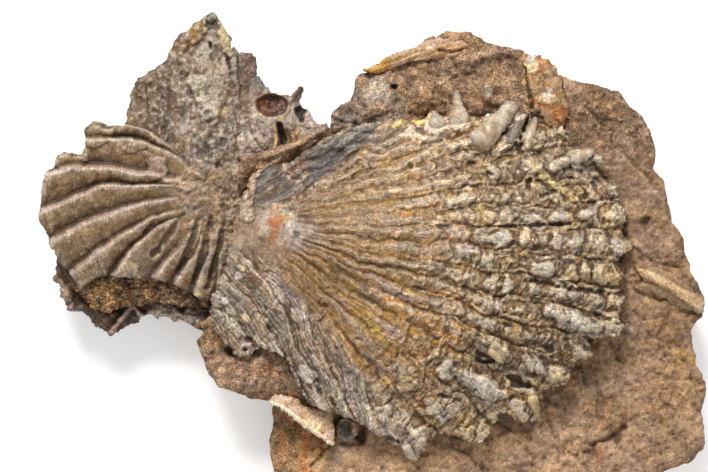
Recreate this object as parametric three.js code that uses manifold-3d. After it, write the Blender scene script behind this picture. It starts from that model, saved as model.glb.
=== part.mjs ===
// A cluster of fossil bivalves cemented together: a large ribbed file shell lying on a block of
// brown limestone and, against its beak, a pleated oyster with both valves in place and smaller
// shells grown on it.
// Millimetres, +Z up. The origin is in the middle of the flat underside, +X runs from the oyster
// to the block's broken side, and +Y runs towards the tip of the oyster's wing. Every piece is a
// closed relief: a top face lifted to its height over an outline, a wall round it, an underside.
import * as THREE from "three";
import Module from "manifold-3d";

const wasm = await Module();
wasm.setup();

// ---- Driving dimensions ----
const GAP = 0.3; // clearance left between neighbouring pieces
const SKY = 80; // above everything, for cutting one piece's bed into another
const SEAT = 19; // height of the bed that the ribbed valve lies on

const BEAK = [-32, 8]; // where the ribs of the big valve start
const RIB_HEIGHT = 2.6;
const RIB_NOTCH = 0.955; // the margin between two ribs, as a share of the shorter one's reach
// The ribs of the big valve, from the ear round to the flank: direction in degrees, reach to the tip.
const RIBS = [
  [24.3, 73],
  [20.4, 78],
  [16.2, 86],
  [10.6, 92],
  [5.1, 96],
  [1.5, 97],
  [-3.2, 98],
  [-7.7, 97],
  [-11.7, 98.5],
  [-15.9, 100.5],
  [-21.3, 94],
  [-25.4, 91],
  [-34.2, 89],
  [-42, 81.5],
  [-53, 73.5],
];
const LEDGES = [27, 40, 51, 61, 70, 78, 86]; // distances from the beak where growth stopped
const LEDGE_HEIGHT = 0.8;
const LEDGE_WIDTH = 1.6;

const HINGE = [-37, 14]; // where the oyster's pleats start
const PLEAT_HEIGHT = 2.3;
const PLEAT_TURN = 0.8; // share of a pleat's width that slopes gently before it rises to the next crest
// Crests of the oyster's pleats: directions in degrees close to the hinge and out at the margin.
const PLEATS = [
  [135, 151],
  [141, 164],
  [161, 171.5],
  [168, 184],
  [183, 194.5],
  [197, 208],
  [206, 222],
  [228, 236],
  [241, 244],
  [254, 253],
  [268, 264],
];
const PLEAT_INNER = 20;
const PLEAT_OUTER = 45;
const OYSTER_THICKNESS = 4.6;

const COLOURS = {
  file_shell: 0xa58a62,
  pale_shell: 0xc9aa82,
  rust_shell: 0xb58a56,
  ochre_shell: 0xa88a60,
  grey_shell: 0xb09a7c,
  oyster: 0x8d7658,
  dark_oyster: 0x6f6256,
  sediment: 0x7c6549,
  limestone: 0x9a7454,
};

// ---- Outlines, as [x, y] round each piece ----
const ROCK_OUTLINE = [
  [-34.8, 16], [-33.6, 20], [-31.5, 22.6], [-29.2, 24], [-26, 24.6], [-22, 25.8], [-18, 27.4],
  [-14, 29.8], [-10.6, 31.9], [-10.2, 35], [-7.5, 37.9], [-5.3, 39.2], [-4.7, 43], [-3.4, 45],
  [-2.2, 46.6], [2.4, 48.8], [3.9, 50.1], [8, 51.5], [13, 53.8], [17.4, 55.1], [18.6, 56.2],
  [23, 55.9], [25, 55.2], [28.3, 53], [33, 52], [37.5, 51], [40.5, 50.7], [44.7, 49.4],
  [47.3, 45.4], [49.3, 44.7], [53.5, 43.5], [57, 42.2], [62.3, 41], [66, 37.3], [69, 34],
  [70.7, 29.5], [71.6, 25.5], [71.3, 22], [73.3, 18], [74.3, 13], [75.3, 8.5], [78, 4.5],
  [79, 0.5], [80, -3.5], [82.3, -7.3], [83.7, -10.5], [83.8, -13.5], [83, -15.8], [81, -18.8],
  [80.9, -23], [82.5, -28], [84, -32], [84.3, -37], [83.4, -42], [84, -48.5], [80.5, -51.3],
  [75.5, -53.5], [70, -57], [60, -59.6], [48, -61], [34, -61.6], [20, -60.8], [6, -61.8],
  [-8, -61], [-18, -60.2], [-23, -58.6], [-24.6, -53], [-25.2, -47], [-25, -42], [-24.7, -38.4],
  [-25.4, -37], [-28, -36.1], [-31, -35.4], [-34, -34.9], [-36.5, -33.5], [-38.5, -32],
  [-41.5, -28], [-42.3, -25], [-43.7, -21.2], [-42.3, -18.6], [-41, -15], [-44, -10], [-50, -6],
  [-55, 2], [-56, 13], [-52, 25], [-43, 30], [-37, 26], [-36, 20],
];
// The ribbed valve from its last rib round the flank, the beak and the ear to its first rib.
const FLANK_OUTLINE = [
  [4, -45.5], [0, -43], [-3, -41.2], [-8, -39], [-12, -38], [-15.5, -36.5], [-17.5, -33],
  [-19, -29], [-21, -25.5], [-24, -23.5], [-27.5, -22.5], [-30, -24], [-33, -25], [-36, -22],
  [-38.5, -19], [-40, -14], [-39.3, -10], [-37.5, -6], [-36, -2.5], [-35.2, 0.5], [-35, 3],
  [-34, 6], [-33.4, 9], [-33, 12], [-31.5, 15], [-30, 19], [-28, 21.5], [-24, 22.8], [-20, 22.8],
  [-17, 25], [-12, 28.5], [-8, 30.8], [-4, 32], [0, 33.2], [5, 33.7], [10, 33.5], [13, 33.7],
  [15.5, 36], [18, 34], [20, 34.5], [22.3, 38], [24.5, 34.5], [28, 34],
];
// The oyster's upper valve: its wing, its pleated margin, and where it dips under its neighbours.
const OYSTER_OUTLINE = [
  [-39.3, 61], [-38.2, 59.4], [-36.6, 57.2], [-35.2, 54.5], [-34.6, 50.5], [-34.3, 46],
  [-33.4, 40], [-32.6, 34], [-32, 27], [-33, 18], [-31.5, 8], [-33, -2], [-37, -10], [-41, -10.6],
  [-44, -9.8], [-46.5, -8.6], [-49, -7.3], [-53, -6.1], [-57, -5.3], [-62, -5.5], [-66, -4.6],
  [-69, -5.9], [-72.8, -8.2], [-74.8, -5.6], [-76.8, -2.6], [-78.8, 0.6], [-80.2, 2.6], [-81, 4.8],
  [-82.4, 8], [-83.5, 10.6], [-82.9, 13], [-82.3, 18], [-81.3, 21], [-79.2, 22.1], [-78.8, 24.2],
  [-77, 26.2], [-75, 25.7], [-72.6, 25.6], [-71.4, 27.4], [-71.7, 31.3], [-69.8, 33.7],
  [-67, 33.2], [-65, 32.5], [-61.9, 32.6], [-60.4, 37], [-60.2, 40.7], [-58.5, 44.6], [-55, 46.3],
  [-51, 49], [-49.7, 52.3], [-48.4, 55.2], [-46.2, 56.2], [-45, 57.8], [-42, 59.7],
];
const LOWER_OYSTER_OUTLINE = [
  [-41.6, -16.6], [-43.3, -16.6], [-44.6, -17.8], [-46.8, -16.5], [-48.6, -17.2], [-49.9, -16.9],
  [-51, -15.5], [-54.5, -14.9], [-57.2, -16.1], [-60.5, -17.7], [-63.6, -19.8], [-64.9, -20.3],
  [-66.2, -19.3], [-70, -16.2], [-72.6, -14.5], [-75.5, -13.9], [-76.7, -12.3], [-78.6, -8.2],
  [-80, -5.1], [-78.6, -4.5], [-79.4, 0], [-80.4, 6], [-80, 13], [-78, 20], [-70, 27], [-60, 31],
  [-48, 33], [-38, 28], [-34.5, 18], [-34, 4], [-36.5, -8], [-38.6, -14],
];
const OYSTER_FILL_OUTLINE = [
  [-40.4, -12.8], [-46, -12], [-50, -11.2], [-56, -11.4], [-61, -12.2], [-64, -13.4],
  [-67.2, -13.6], [-70.5, -11.6], [-73.6, -8.4], [-75, -3], [-76.5, 4], [-76, 12], [-73, 18],
  [-64, 24], [-50, 27], [-40, 22], [-36, 10], [-36.5, -3],
];
// The small oyster grown on the big one's wing, with its horn.
const CUP_OUTLINE = [
  [-33.6, 47.5], [-33.6, 50], [-32.4, 51.1], [-29.8, 50.9], [-28.8, 49.6], [-28.3, 45.2],
  [-26.4, 42.8], [-24.9, 40.9], [-22.3, 40.1], [-20, 40.4], [-18.3, 42], [-16.4, 42.9],
  [-17, 40.8], [-17.8, 38.6], [-17.2, 37.3], [-15.4, 36.1], [-14.2, 33.9], [-12.2, 32.1],
  [-16, 29.2], [-20, 27.2], [-26, 25.6], [-30.8, 25.2], [-31.4, 30], [-32, 35], [-32.8, 41],
];
// A shell fragment along the top of the block.
const RIM_OUTLINE = [
  [-1.6, 46.5], [2.4, 48], [4.4, 49.4], [8.2, 50.8], [13.2, 53], [17, 54.2], [20.5, 53.4],
  [24.2, 53.4], [24.6, 52.2], [21, 50.4], [16, 49.6], [10, 48.6], [5, 47.4], [1, 45.8],
];
// Lumpy pale and rust shell grown over the block's corner.
const CRUST_OUTLINE = [
  [38, 50.2], [40.6, 50], [43.6, 48.8], [45.6, 46.8], [47, 44.6], [48, 41], [49.2, 36],
  [48.4, 32.8], [45, 31.8], [42.2, 34.4], [39.6, 37], [38.8, 41.5], [39, 46],
];
const SPLINTER_OUTLINE = [
  [65.8, -2.2], [68.6, -3.6], [71, -2.6], [75.4, -4.8], [80, -8.4], [83, -11.2], [83, -14],
  [79.6, -13.6], [74.5, -11], [69.6, -8.8], [66, -8], [68.6, -6.2],
];
// The edge of the file shell's other valve, showing under the flank.
const LOWER_VALVE_OUTLINE = [
  [-24.9, -37], [-22.8, -37.2], [-20.3, -39.6], [-17.5, -41.9], [-15, -43.7], [-13, -44.9],
  [-11, -46.2], [-9.6, -47.4], [-9.3, -43.4], [-10.4, -39.6], [-13.5, -38.6], [-17, -37.6],
  [-19.5, -35.6], [-24, -35],
];
const DISC_CENTRE = [-6, -43.4]; // a small round shell
const DISC_RADIUS = 2.7;

// ---- Heights, as [x, y, height] of places on each surface ----
const ROCK_LEVELS = [
  [-33, 17, 34], [-27, 22, 33], [-18, 25, 32], [-10, 31, 30], [-6, 35, 29], [0, 40, 29.5],
  [0, 46, 28], [10, 40, 30], [10, 48, 30], [20, 45, 30], [22, 54, 29], [30, 42, 30.5],
  [32, 50, 29], [40, 47, 30], [47, 42, 28], [52, 38, 27], [58, 36, 26], [62, 40, 23.5],
  [66, 32, 24], [60, 26, 25.5], [69, 27, 22], [66, 18, 24.5], [72, 18, 22], [68, 6, 24],
  [75, 6, 21.5], [68, -3, 23.5], [78, -3, 21.5], [70, -14, 22.5], [80, -14, 20.5], [70, -25, 22],
  [79, -25, 20], [62, -33, 21.5], [80, -36, 20], [60, -44, 19.5], [66, -47, 18.6], [80, -46, 19.5],
  [50, -40, 21], [50, -52, 20], [35, -50, 20.5], [35, -60, 18], [20, -53, 20], [5, -50, 20],
  [5, -60, 17.5], [-5, -48, 19], [-8, -56, 17.5], [-14, -50, 16.5], [-20, -45, 15.5],
  [-20, -57, 15], [-24, -40, 15.5], [65, -57, 17.5], [-20, -33, 24.5], [-28, -30, 24.5],
  [-30, -34, 23], [-36, -30, 23.5], [-40, -26, 23], [-42, -21, 24], [-41, -16, 25], [-30, -26, 25],
  [-22, -28, 25.5],
];
const VALVE_LEVELS = [
  [-33, 8, 37], [-28, 8, 40.5], [-20, 8, 43.5], [-5, 6, 46], [10, 5, 46.5], [25, 4, 44.5],
  [40, 2, 40], [52, 0, 34.5], [64, 0, 28.5], [45, 20, 35], [56, 22, 29.5], [62, 14, 28.5],
  [30, 25, 37], [15, 28, 37], [0, 27, 37], [-12, 22, 36], [-25, 18, 34], [-29, 20, 32],
  [5, 33, 32], [20, 34, 32], [33, 36, 32.5], [45, 30, 31], [5, -15, 43.5], [20, -15, 42.5],
  [35, -14, 39.5], [50, -18, 34], [62, -19, 29], [10, -30, 38], [25, -30, 35.5], [40, -30, 30.5],
  [28, -43, 27], [12, -42, 29], [10, -50, 23.5], [41, -40, 24], [50, -29, 27], [-5, -20, 40],
  [-5, -32, 34.5], [-2, -40, 28.5], [-20, -5, 40.5], [-30, -3, 36], [-36, -3, 32], [-28, -12, 34],
  [-38, -13, 29], [-36, -21, 26], [-28, -20, 28.5], [-18, -18, 35], [-15, -30, 30],
  [-16, -36, 26.5], [-8, -37, 28],
];
const OYSTER_LEVELS = [
  [-38, 14, 28], [-50, 15, 28], [-62, 16, 26.5], [-74, 16, 24], [-82, 12, 22.5], [-80, 2, 22.5],
  [-70, 31, 23.5], [-76, 24, 23], [-66, 2, 25.5], [-73, -6, 21.5], [-60, -3, 24.5],
  [-50, -5, 23.5], [-42, -9, 23], [-40, -2, 25.5], [-55, 30, 26], [-50, 26, 28.5], [-58, 38, 25.5],
  [-57, 44, 24.5], [-48, 40, 29], [-42, 48, 30], [-48, 52, 27.5], [-40, 58, 28], [-40, 34, 30],
  [-35, 44, 30.5], [-36, 54, 28.5], [-35, 24, 28],
];
const LOWER_OYSTER_LEVELS = [
  [-65, -19, 13.5], [-72, -12, 15], [-78, -8, 14.5], [-79, 0, 15.5], [-58, -13, 14],
  [-46, -15, 14.5], [-42, -15, 15], [-60, 5, 13], [-50, 20, 14], [-72, 18, 15], [-58, 28, 16],
  [-40, 10, 14],
];
const LOWER_OYSTER_UNDER = [
  [-65, -19, 10.5], [-72, -12, 9.5], [-79, -4, 11], [-60, -8, 6], [-46, -15, 9.5], [-60, 5, 4.5],
  [-50, 8, 4.5], [-74, 12, 9], [-62, 25, 9.5], [-48, 30, 9.5], [-38, 12, 7],
];
const CUP_LEVELS = [
  [-31, 50, 26], [-31, 40, 28.5], [-29, 44, 25.5], [-31, 30, 28.5], [-25, 41, 26.5], [-19, 39, 27],
  [-16.8, 42.4, 28.5], [-24, 33, 29], [-18, 34, 28], [-14, 33, 26.5], [-18, 29, 29],
  [-26, 27, 28.5], [-22, 30, 29],
];
// Hollows in the small oyster: centre, half widths along X and Y, and depth.
const CUP_HOLLOWS = [
  [-24.7, 37.6, 4.4, 3.2, 8],
  [-17.9, 36.2, 1.3, 1.9, 6],
  [-21.6, 29.6, 1.5, 3, 5],
];

// ---- Small helpers ----
const radians = (degrees) => (degrees * Math.PI) / 180;
const mix = (a, b, t) => a + (b - a) * t;
const clamp01 = (t) => Math.min(1, Math.max(0, t));
const smooth = (low, high, v) => {
  const t = clamp01((v - low) / (high - low));
  return t * t * (3 - 2 * t);
};
const hash = (i, j) => {
  const s = Math.sin(i * 127.1 + j * 311.7) * 43758.5453;
  return s - Math.floor(s);
};

// Smooth noise from -1 to 1 with lumps about `size` across.
function noise(x, y, size) {
  const i = Math.floor(x / size);
  const j = Math.floor(y / size);
  const u = smooth(0, 1, x / size - i);
  const v = smooth(0, 1, y / size - j);
  return 2 * mix(mix(hash(i, j), hash(i + 1, j), u), mix(hash(i, j + 1), hash(i + 1, j + 1), u), v) - 1;
}

// A surface through measured places: each counts the more the nearer it is, and `reach` rounds it off.
function surfaceThrough(places, reach) {
  return (x, y) => {
    let total = 0;
    let weights = 0;
    for (const [px, py, height] of places) {
      const weight = 1 / ((x - px) ** 2 + (y - py) ** 2 + reach * reach) ** 2.5;
      total += weight * height;
      weights += weight;
    }
    return total / weights;
  };
}

const polar = (centre, degrees, distance) => [
  centre[0] + distance * Math.cos(radians(degrees)),
  centre[1] + distance * Math.sin(radians(degrees)),
];

// ---- Outlines ----
function signedArea(outline) {
  return outline.reduce((sum, [x, y], i) => {
    const [nx, ny] = outline[(i + 1) % outline.length];
    return sum + (x * ny - nx * y) / 2;
  }, 0);
}

function isInside([x, y], outline) {
  let inside = false;
  outline.forEach(([ax, ay], i) => {
    const [bx, by] = outline[(i + 1) % outline.length];
    if (ay > y !== by > y && x < ax + ((y - ay) / (by - ay)) * (bx - ax)) inside = !inside;
  });
  return inside;
}

function distanceToEdge([x, y], outline) {
  let least = Infinity;
  outline.forEach(([ax, ay], i) => {
    const [bx, by] = outline[(i + 1) % outline.length];
    const along = (x - ax) * (bx - ax) + (y - ay) * (by - ay);
    const t = clamp01(along / ((bx - ax) ** 2 + (by - ay) ** 2));
    least = Math.min(least, Math.hypot(x - mix(ax, bx, t), y - mix(ay, by, t)));
  });
  return least;
}

// The outline anticlockwise, with points added so that none are further apart than `step`.
function evenOutline(outline, step) {
  const turned = signedArea(outline) > 0 ? outline : [...outline].reverse();
  return turned.flatMap(([x, y], i) => {
    const [nx, ny] = turned[(i + 1) % turned.length];
    const count = Math.ceil(Math.hypot(nx - x, ny - y) / step);
    return Array.from({ length: count }, (_, k) => [mix(x, nx, k / count), mix(y, ny, k / count)]);
  });
}

// Unit normals pointing out of an anticlockwise outline, averaged over `span` points each way.
function outwardNormals(outline, span) {
  const count = outline.length;
  return outline.map((_, i) => {
    const [ax, ay] = outline[(i - span + count) % count];
    const [bx, by] = outline[(i + span) % count];
    const length = Math.hypot(bx - ax, by - ay);
    return [(by - ay) / length, (ax - bx) / length];
  });
}

// The outline moved outwards by `by`, each corner along the line that halves it.
function grownOutline(outline, by) {
  const turned = signedArea(outline) > 0 ? outline : [...outline].reverse();
  return turned.map(([x, y], i) => {
    const [ax, ay] = turned[(i - 1 + turned.length) % turned.length];
    const [nextX, nextY] = turned[(i + 1) % turned.length];
    const before = Math.atan2(ax - x, y - ay);
    const after = Math.atan2(x - nextX, nextY - y);
    const half = Math.atan2(Math.sin(after - before), Math.cos(after - before)) / 2;
    const reach = by / Math.max(0.3, Math.cos(half));
    return [x + reach * Math.cos(before + half), y + reach * Math.sin(before + half)];
  });
}

// ---- Triangles over a set of points, each new point opening the circles that it falls in ----
function triangulate(points) {
  const far = 1e4;
  const all = [...points, [-far, -far], [far, -far], [0, far]];
  const circle = (a, b, c) => {
    const [ax, ay] = all[a];
    const bx = all[b][0] - ax;
    const by = all[b][1] - ay;
    const cx = all[c][0] - ax;
    const cy = all[c][1] - ay;
    const d = 2 * (bx * cy - by * cx);
    const ux = (cy * (bx * bx + by * by) - by * (cx * cx + cy * cy)) / d;
    const uy = (bx * (cx * cx + cy * cy) - cx * (bx * bx + by * by)) / d;
    return { corners: [a, b, c], x: ax + ux, y: ay + uy, rr: ux * ux + uy * uy };
  };
  let open = [circle(points.length, points.length + 1, points.length + 2)];
  points.forEach(([x, y], index) => {
    const edges = new Map();
    const kept = [];
    for (const t of open) {
      if ((x - t.x) ** 2 + (y - t.y) ** 2 > t.rr) {
        kept.push(t);
        continue;
      }
      t.corners.forEach((a, k) => {
        const b = t.corners[(k + 1) % 3];
        const twin = b + ":" + a;
        if (edges.has(twin)) edges.delete(twin);
        else edges.set(a + ":" + b, [a, b]);
      });
    }
    open = kept;
    for (const [a, b] of edges.values()) open.push(circle(a, b, index));
  });
  return open.map((t) => t.corners).filter((corners) => corners.every((c) => c < points.length));
}

// The interior points that keep their distance from the outline and from each other.
function spacedPoints(candidates, outline, spacing) {
  const kept = [];
  for (const p of candidates) {
    if (!isInside(p, outline) || distanceToEdge(p, outline) < 0.6 * spacing) continue;
    if (kept.every((q) => Math.hypot(p[0] - q[0], p[1] - q[1]) >= spacing)) kept.push(p);
  }
  return kept;
}

// A loose grid of points over the outline's box, each one shaken so that the facets look broken.
function scatter(outline, spacing) {
  const rowHeight = spacing * 0.87;
  const shake = spacing * 0.5;
  const [left, right] = [Math.min, Math.max].map((most) => most(...outline.map((p) => p[0])));
  const [bottom, top] = [Math.min, Math.max].map((most) => most(...outline.map((p) => p[1])));
  const found = [];
  for (let row = 0; bottom + row * rowHeight < top; row += 1) {
    const start = left + (row % 2) * (spacing / 2);
    for (let column = 0; start + column * spacing < right; column += 1) {
      found.push([
        start + column * spacing + (hash(column, row) - 0.5) * shake,
        bottom + row * rowHeight + (hash(row + 50, column) - 0.5) * shake,
      ]);
    }
  }
  return found;
}

// ---- Solids ----
function asManifold(vertices, triangles) {
  return new wasm.Manifold(
    new wasm.Mesh({
      numProp: 3,
      vertProperties: new Float32Array(vertices.flat()),
      triVerts: new Uint32Array(triangles.flat()),
    }),
  );
}

// A closed relief over an outline. `top` and `under` give heights, and a flat `under` says so. `wall`
// lists the courses of the wall between them, each as [share of the way down, distance drawn in];
// the last one is the edge of the underside.
function relief({ outline, step, inner = [], spacing = 1, top, under, wall = [[1, 0]], ragged = 0 }) {
  let edge = evenOutline(outline, step);
  let points;
  let faces;
  for (let tries = 0; tries < 8; tries += 1) {
    points = [...edge, ...spacedPoints(inner, edge, spacing)];
    faces = triangulate(points).filter((corners) => {
      const middle = [0, 1].map((k) => corners.reduce((sum, c) => sum + points[c][k] / 3, 0));
      return isInside(middle, edge);
    });
    const sides = new Set(faces.flatMap(([a, b, c]) => [a + ":" + b, b + ":" + c, c + ":" + a]));
    const missing = edge.map((_, i) => !sides.has(i + ":" + ((i + 1) % edge.length)));
    if (!missing.includes(true)) break;
    edge = edge.flatMap((p, i) => {
      const q = edge[(i + 1) % edge.length];
      return missing[i] ? [p, [(p[0] + q[0]) / 2, (p[1] + q[1]) / 2]] : [p];
    });
  }
  const count = edge.length;
  const vertices = points.map(([x, y]) => [x, y, top(x, y)]);
  const triangles = [...faces];
  const normals = outwardNormals(edge, 3);
  let above = 0;
  wall.forEach(([share, drawnIn], course) => {
    const start = vertices.length;
    edge.forEach(([x, y], i) => {
      const isLast = course === wall.length - 1;
      const shake = isLast ? 0 : (ragged * (1 + noise(x + 31 * course, y - 17 * course, 6))) / 2;
      const inset = drawnIn + shake;
      vertices.push([
        x - normals[i][0] * inset,
        y - normals[i][1] * inset,
        mix(top(x, y), under(x, y), share),
      ]);
    });
    for (let i = 0; i < count; i += 1) {
      const next = (i + 1) % count;
      triangles.push([above + i, start + i, start + next], [above + i, start + next, above + next]);
    }
    above = start;
  });
  const below = vertices.length - count;
  if (under.flat) {
    const floor = vertices.slice(below).map(([x, y]) => new THREE.Vector2(x, y));
    for (const [a, b, c] of THREE.ShapeUtils.triangulateShape(floor, [])) {
      triangles.push([below + c, below + b, below + a]);
    }
  } else {
    points.slice(count).forEach(([x, y]) => vertices.push([x, y, under(x, y)]));
    for (const [a, b, c] of faces) triangles.push([below + c, below + b, below + a]);
  }
  return asManifold(vertices, triangles);
}

const flatAt = (height) => Object.assign(() => height, { flat: true });

// What a piece cuts out of its neighbours: its outline and its underside, both grown by the gap.
function bedOf({ outline, step, inner = [], spacing = 1, under }) {
  const grown = grownOutline(evenOutline(outline, step), GAP);
  const lowered = Object.assign((x, y) => under(x, y) - GAP, { flat: under.flat });
  return relief({ outline: grown, step, inner, spacing, top: () => SKY, under: lowered });
}

function largestBody(solid) {
  return solid.decompose().reduce((best, body) => (body.volume() > best.volume() ? body : best));
}

// ---- The pieces ----
const directionFrom = ([cx, cy], x, y) => (Math.atan2(y - cy, x - cx) * 180) / Math.PI;
const distanceFrom = ([cx, cy], x, y) => Math.hypot(x - cx, y - cy);

// Where a direction from the beak falls between two ribs: 0 and 1 on their crests, 0.5 in the groove.
function ribPhase(degrees) {
  const next = RIBS.findIndex(([direction]) => direction < degrees);
  if (next <= 0) return null;
  const [from] = RIBS[next - 1];
  const [to] = RIBS[next];
  return (from - degrees) / (from - to);
}

function ribbedValve() {
  const grooves = RIBS.slice(1).map(([direction, reach], i) => {
    const [before, reachBefore] = RIBS[i];
    return polar(BEAK, (before + direction) / 2, RIB_NOTCH * Math.min(reach, reachBefore));
  });
  const tips = RIBS.map(([direction, reach]) => polar(BEAK, direction, reach));
  const margin = tips.flatMap((tip, i) => (i < grooves.length ? [tip, grooves[i]] : [tip]));
  const dome = surfaceThrough(VALVE_LEVELS, 5);
  const top = (x, y) => {
    const distance = distanceFrom(BEAK, x, y);
    const phase = ribPhase(directionFrom(BEAK, x, y));
    const swell = (RIB_HEIGHT / 2) * smooth(10, 60, distance);
    const rib = phase === null ? 0 : swell * Math.cos(2 * Math.PI * phase);
    const last = LEDGES.filter((ledge) => ledge <= distance).at(-1) ?? 10;
    const next = LEDGES.find((ledge) => ledge > distance) ?? 98;
    const growth = LEDGE_HEIGHT * ((distance - last) / (next - last) - 0.5) * smooth(10, 30, distance);
    return dome(x, y) + rib + growth;
  };
  const directions = RIBS.flatMap(([direction], i) => {
    if (i === RIBS.length - 1) return [direction];
    return [0, 0.25, 0.5, 0.75].map((share) => mix(direction, RIBS[i + 1][0], share));
  });
  const stations = LEDGES.flatMap((ledge, i) => {
    const before = LEDGES[i - 1] ?? 8;
    return [(before + ledge) / 2, ledge - LEDGE_WIDTH / 2, ledge + LEDGE_WIDTH / 2];
  });
  const onRibs = directions.flatMap((direction) =>
    stations.map((distance) => polar(BEAK, direction, distance)),
  );
  const outline = [...margin, ...FLANK_OUTLINE];
  const besideRibs = scatter(outline, 4.5).filter(([x, y]) => {
    return ribPhase(directionFrom(BEAK, x, y)) === null;
  });
  return {
    outline,
    step: 4,
    inner: [...onRibs, ...besideRibs],
    spacing: 1.5,
    top,
    under: flatAt(SEAT),
    colour: COLOURS.file_shell,
  };
}

// How high the pleats stand: from each crest a long slope down, then a short rise to the next crest.
function pleat(x, y) {
  const distance = distanceFrom(HINGE, x, y);
  const degrees = (directionFrom(HINGE, x, y) + 360) % 360;
  const outwards = (distance - PLEAT_INNER) / (PLEAT_OUTER - PLEAT_INNER);
  const crests = PLEATS.map(([inner, outer]) => mix(inner, outer, outwards));
  const next = crests.findIndex((crest) => crest > degrees);
  if (next <= 0) return 0;
  const share = (degrees - crests[next - 1]) / (crests[next] - crests[next - 1]);
  const slope = 0.5 - share / PLEAT_TURN;
  const rise = (share - PLEAT_TURN) / (1 - PLEAT_TURN) - 0.5;
  return (share < PLEAT_TURN ? slope : rise) * PLEAT_HEIGHT * smooth(3, 32, distance);
}

function oysterUpperValve() {
  const base = surfaceThrough(OYSTER_LEVELS, 5);
  const onPleats = PLEATS.flatMap(([inner, outer], i) => {
    const [innerNext, outerNext] = PLEATS[i + 1] ?? [inner + 8, outer + 8];
    return [0, PLEAT_TURN / 2, PLEAT_TURN].flatMap((share) =>
      [10, 15, 20, 25, 30, 34, 38, 42].map((distance) => {
        const outwards = (distance - PLEAT_INNER) / (PLEAT_OUTER - PLEAT_INNER);
        const here = mix(inner, outer, outwards);
        return polar(HINGE, mix(here, mix(innerNext, outerNext, outwards), share), distance);
      }),
    );
  });
  const onWing = scatter(OYSTER_OUTLINE, 4.5).filter(([x, y]) => {
    const degrees = (directionFrom(HINGE, x, y) + 360) % 360;
    return degrees < PLEATS[0][0] || degrees > PLEATS.at(-1)[0];
  });
  return {
    outline: OYSTER_OUTLINE,
    step: 3,
    inner: [...onPleats, ...onWing],
    spacing: 1.2,
    top: (x, y) => base(x, y) + pleat(x, y) + 0.4 * noise(x, y, 7),
    under: (x, y) => base(x, y) - OYSTER_THICKNESS,
    colour: COLOURS.oyster,
  };
}

function oysterLowerValve() {
  const rim = surfaceThrough(LOWER_OYSTER_LEVELS, 5);
  return {
    outline: LOWER_OYSTER_OUTLINE,
    step: 3.5,
    inner: scatter(LOWER_OYSTER_OUTLINE, 7),
    spacing: 3,
    top: (x, y) => rim(x, y) + 0.5 * noise(x, y, 5),
    under: surfaceThrough(LOWER_OYSTER_UNDER, 6),
    colour: COLOURS.dark_oyster,
  };
}

function oysterFill() {
  return {
    outline: OYSTER_FILL_OUTLINE,
    step: 4,
    inner: scatter(OYSTER_FILL_OUTLINE, 7),
    spacing: 3,
    top: () => SEAT + 0.5,
    under: flatAt(11),
    colour: COLOURS.sediment,
  };
}

function cupOyster() {
  const body = surfaceThrough(CUP_LEVELS, 2);
  const sunk = (x, y) =>
    CUP_HOLLOWS.reduce((depth, [cx, cy, halfX, halfY, deep]) => {
      const away = Math.hypot((x - cx) / halfX, (y - cy) / halfY);
      return depth + deep * (1 - smooth(0.35, 1, away));
    }, 0);
  const rings = CUP_HOLLOWS.flatMap(([cx, cy, halfX, halfY]) =>
    [0, 0.4, 0.75, 1.05].flatMap((share) =>
      Array.from({ length: 10 }, (_, k) => [
        cx + halfX * share * Math.cos((k * Math.PI) / 5),
        cy + halfY * share * Math.sin((k * Math.PI) / 5),
      ]),
    ),
  );
  return {
    outline: CUP_OUTLINE,
    step: 3,
    inner: [...rings, ...scatter(CUP_OUTLINE, 3.5)],
    spacing: 0.9,
    top: (x, y) => body(x, y) - sunk(x, y) + 0.4 * noise(x, y, 3),
    under: flatAt(14),
    colour: COLOURS.dark_oyster,
  };
}

// A lump of shell set in the block: domed across its outline, highest in the middle.
function setIn(outline, { low, high, bed, width, step, colour }) {
  return {
    outline,
    step,
    inner: scatter(outline, step),
    spacing: step * 0.6,
    top: (x, y) => {
      const inFromEdge = distanceToEdge([x, y], outline);
      return mix(low(x, y), high(x, y), smooth(0, width, inFromEdge)) + 0.3 * noise(x, y, 3);
    },
    under: flatAt(bed),
    colour,
  };
}

const rockSurface = surfaceThrough(ROCK_LEVELS, 3.5);
const above = (rise) => (x, y) => rockSurface(x, y) + rise;

function discOutline() {
  return Array.from({ length: 14 }, (_, k) => polar(DISC_CENTRE, (k * 360) / 14, DISC_RADIUS));
}

const pieces = {
  ribbed_valve: ribbedValve(),
  rim_shell: setIn(RIM_OUTLINE, {
    low: above(0.2),
    high: above(2),
    bed: 24,
    width: 2,
    step: 2.8,
    colour: COLOURS.pale_shell,
  }),
  crust_shell: setIn(CRUST_OUTLINE, {
    low: above(0.4),
    high: above(3.4),
    bed: 24,
    width: 4,
    step: 3,
    colour: COLOURS.rust_shell,
  }),
  shell_splinter: setIn(SPLINTER_OUTLINE, {
    low: above(0.2),
    high: above(2),
    bed: 16,
    width: 2.2,
    step: 2.6,
    colour: COLOURS.ochre_shell,
  }),
  ribbed_lower_valve: setIn(LOWER_VALVE_OUTLINE, {
    low: () => 22.2,
    high: () => 23.4,
    bed: 13,
    width: 2,
    step: 2.6,
    colour: COLOURS.pale_shell,
  }),
  disc_shell: setIn(discOutline(), {
    low: above(1),
    high: above(2.2),
    bed: 16,
    width: 2,
    step: 2,
    colour: COLOURS.grey_shell,
  }),
  cup_oyster: cupOyster(),
  oyster_upper_valve: oysterUpperValve(),
  oyster_fill: oysterFill(),
  oyster_lower_valve: oysterLowerValve(),
};

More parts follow.
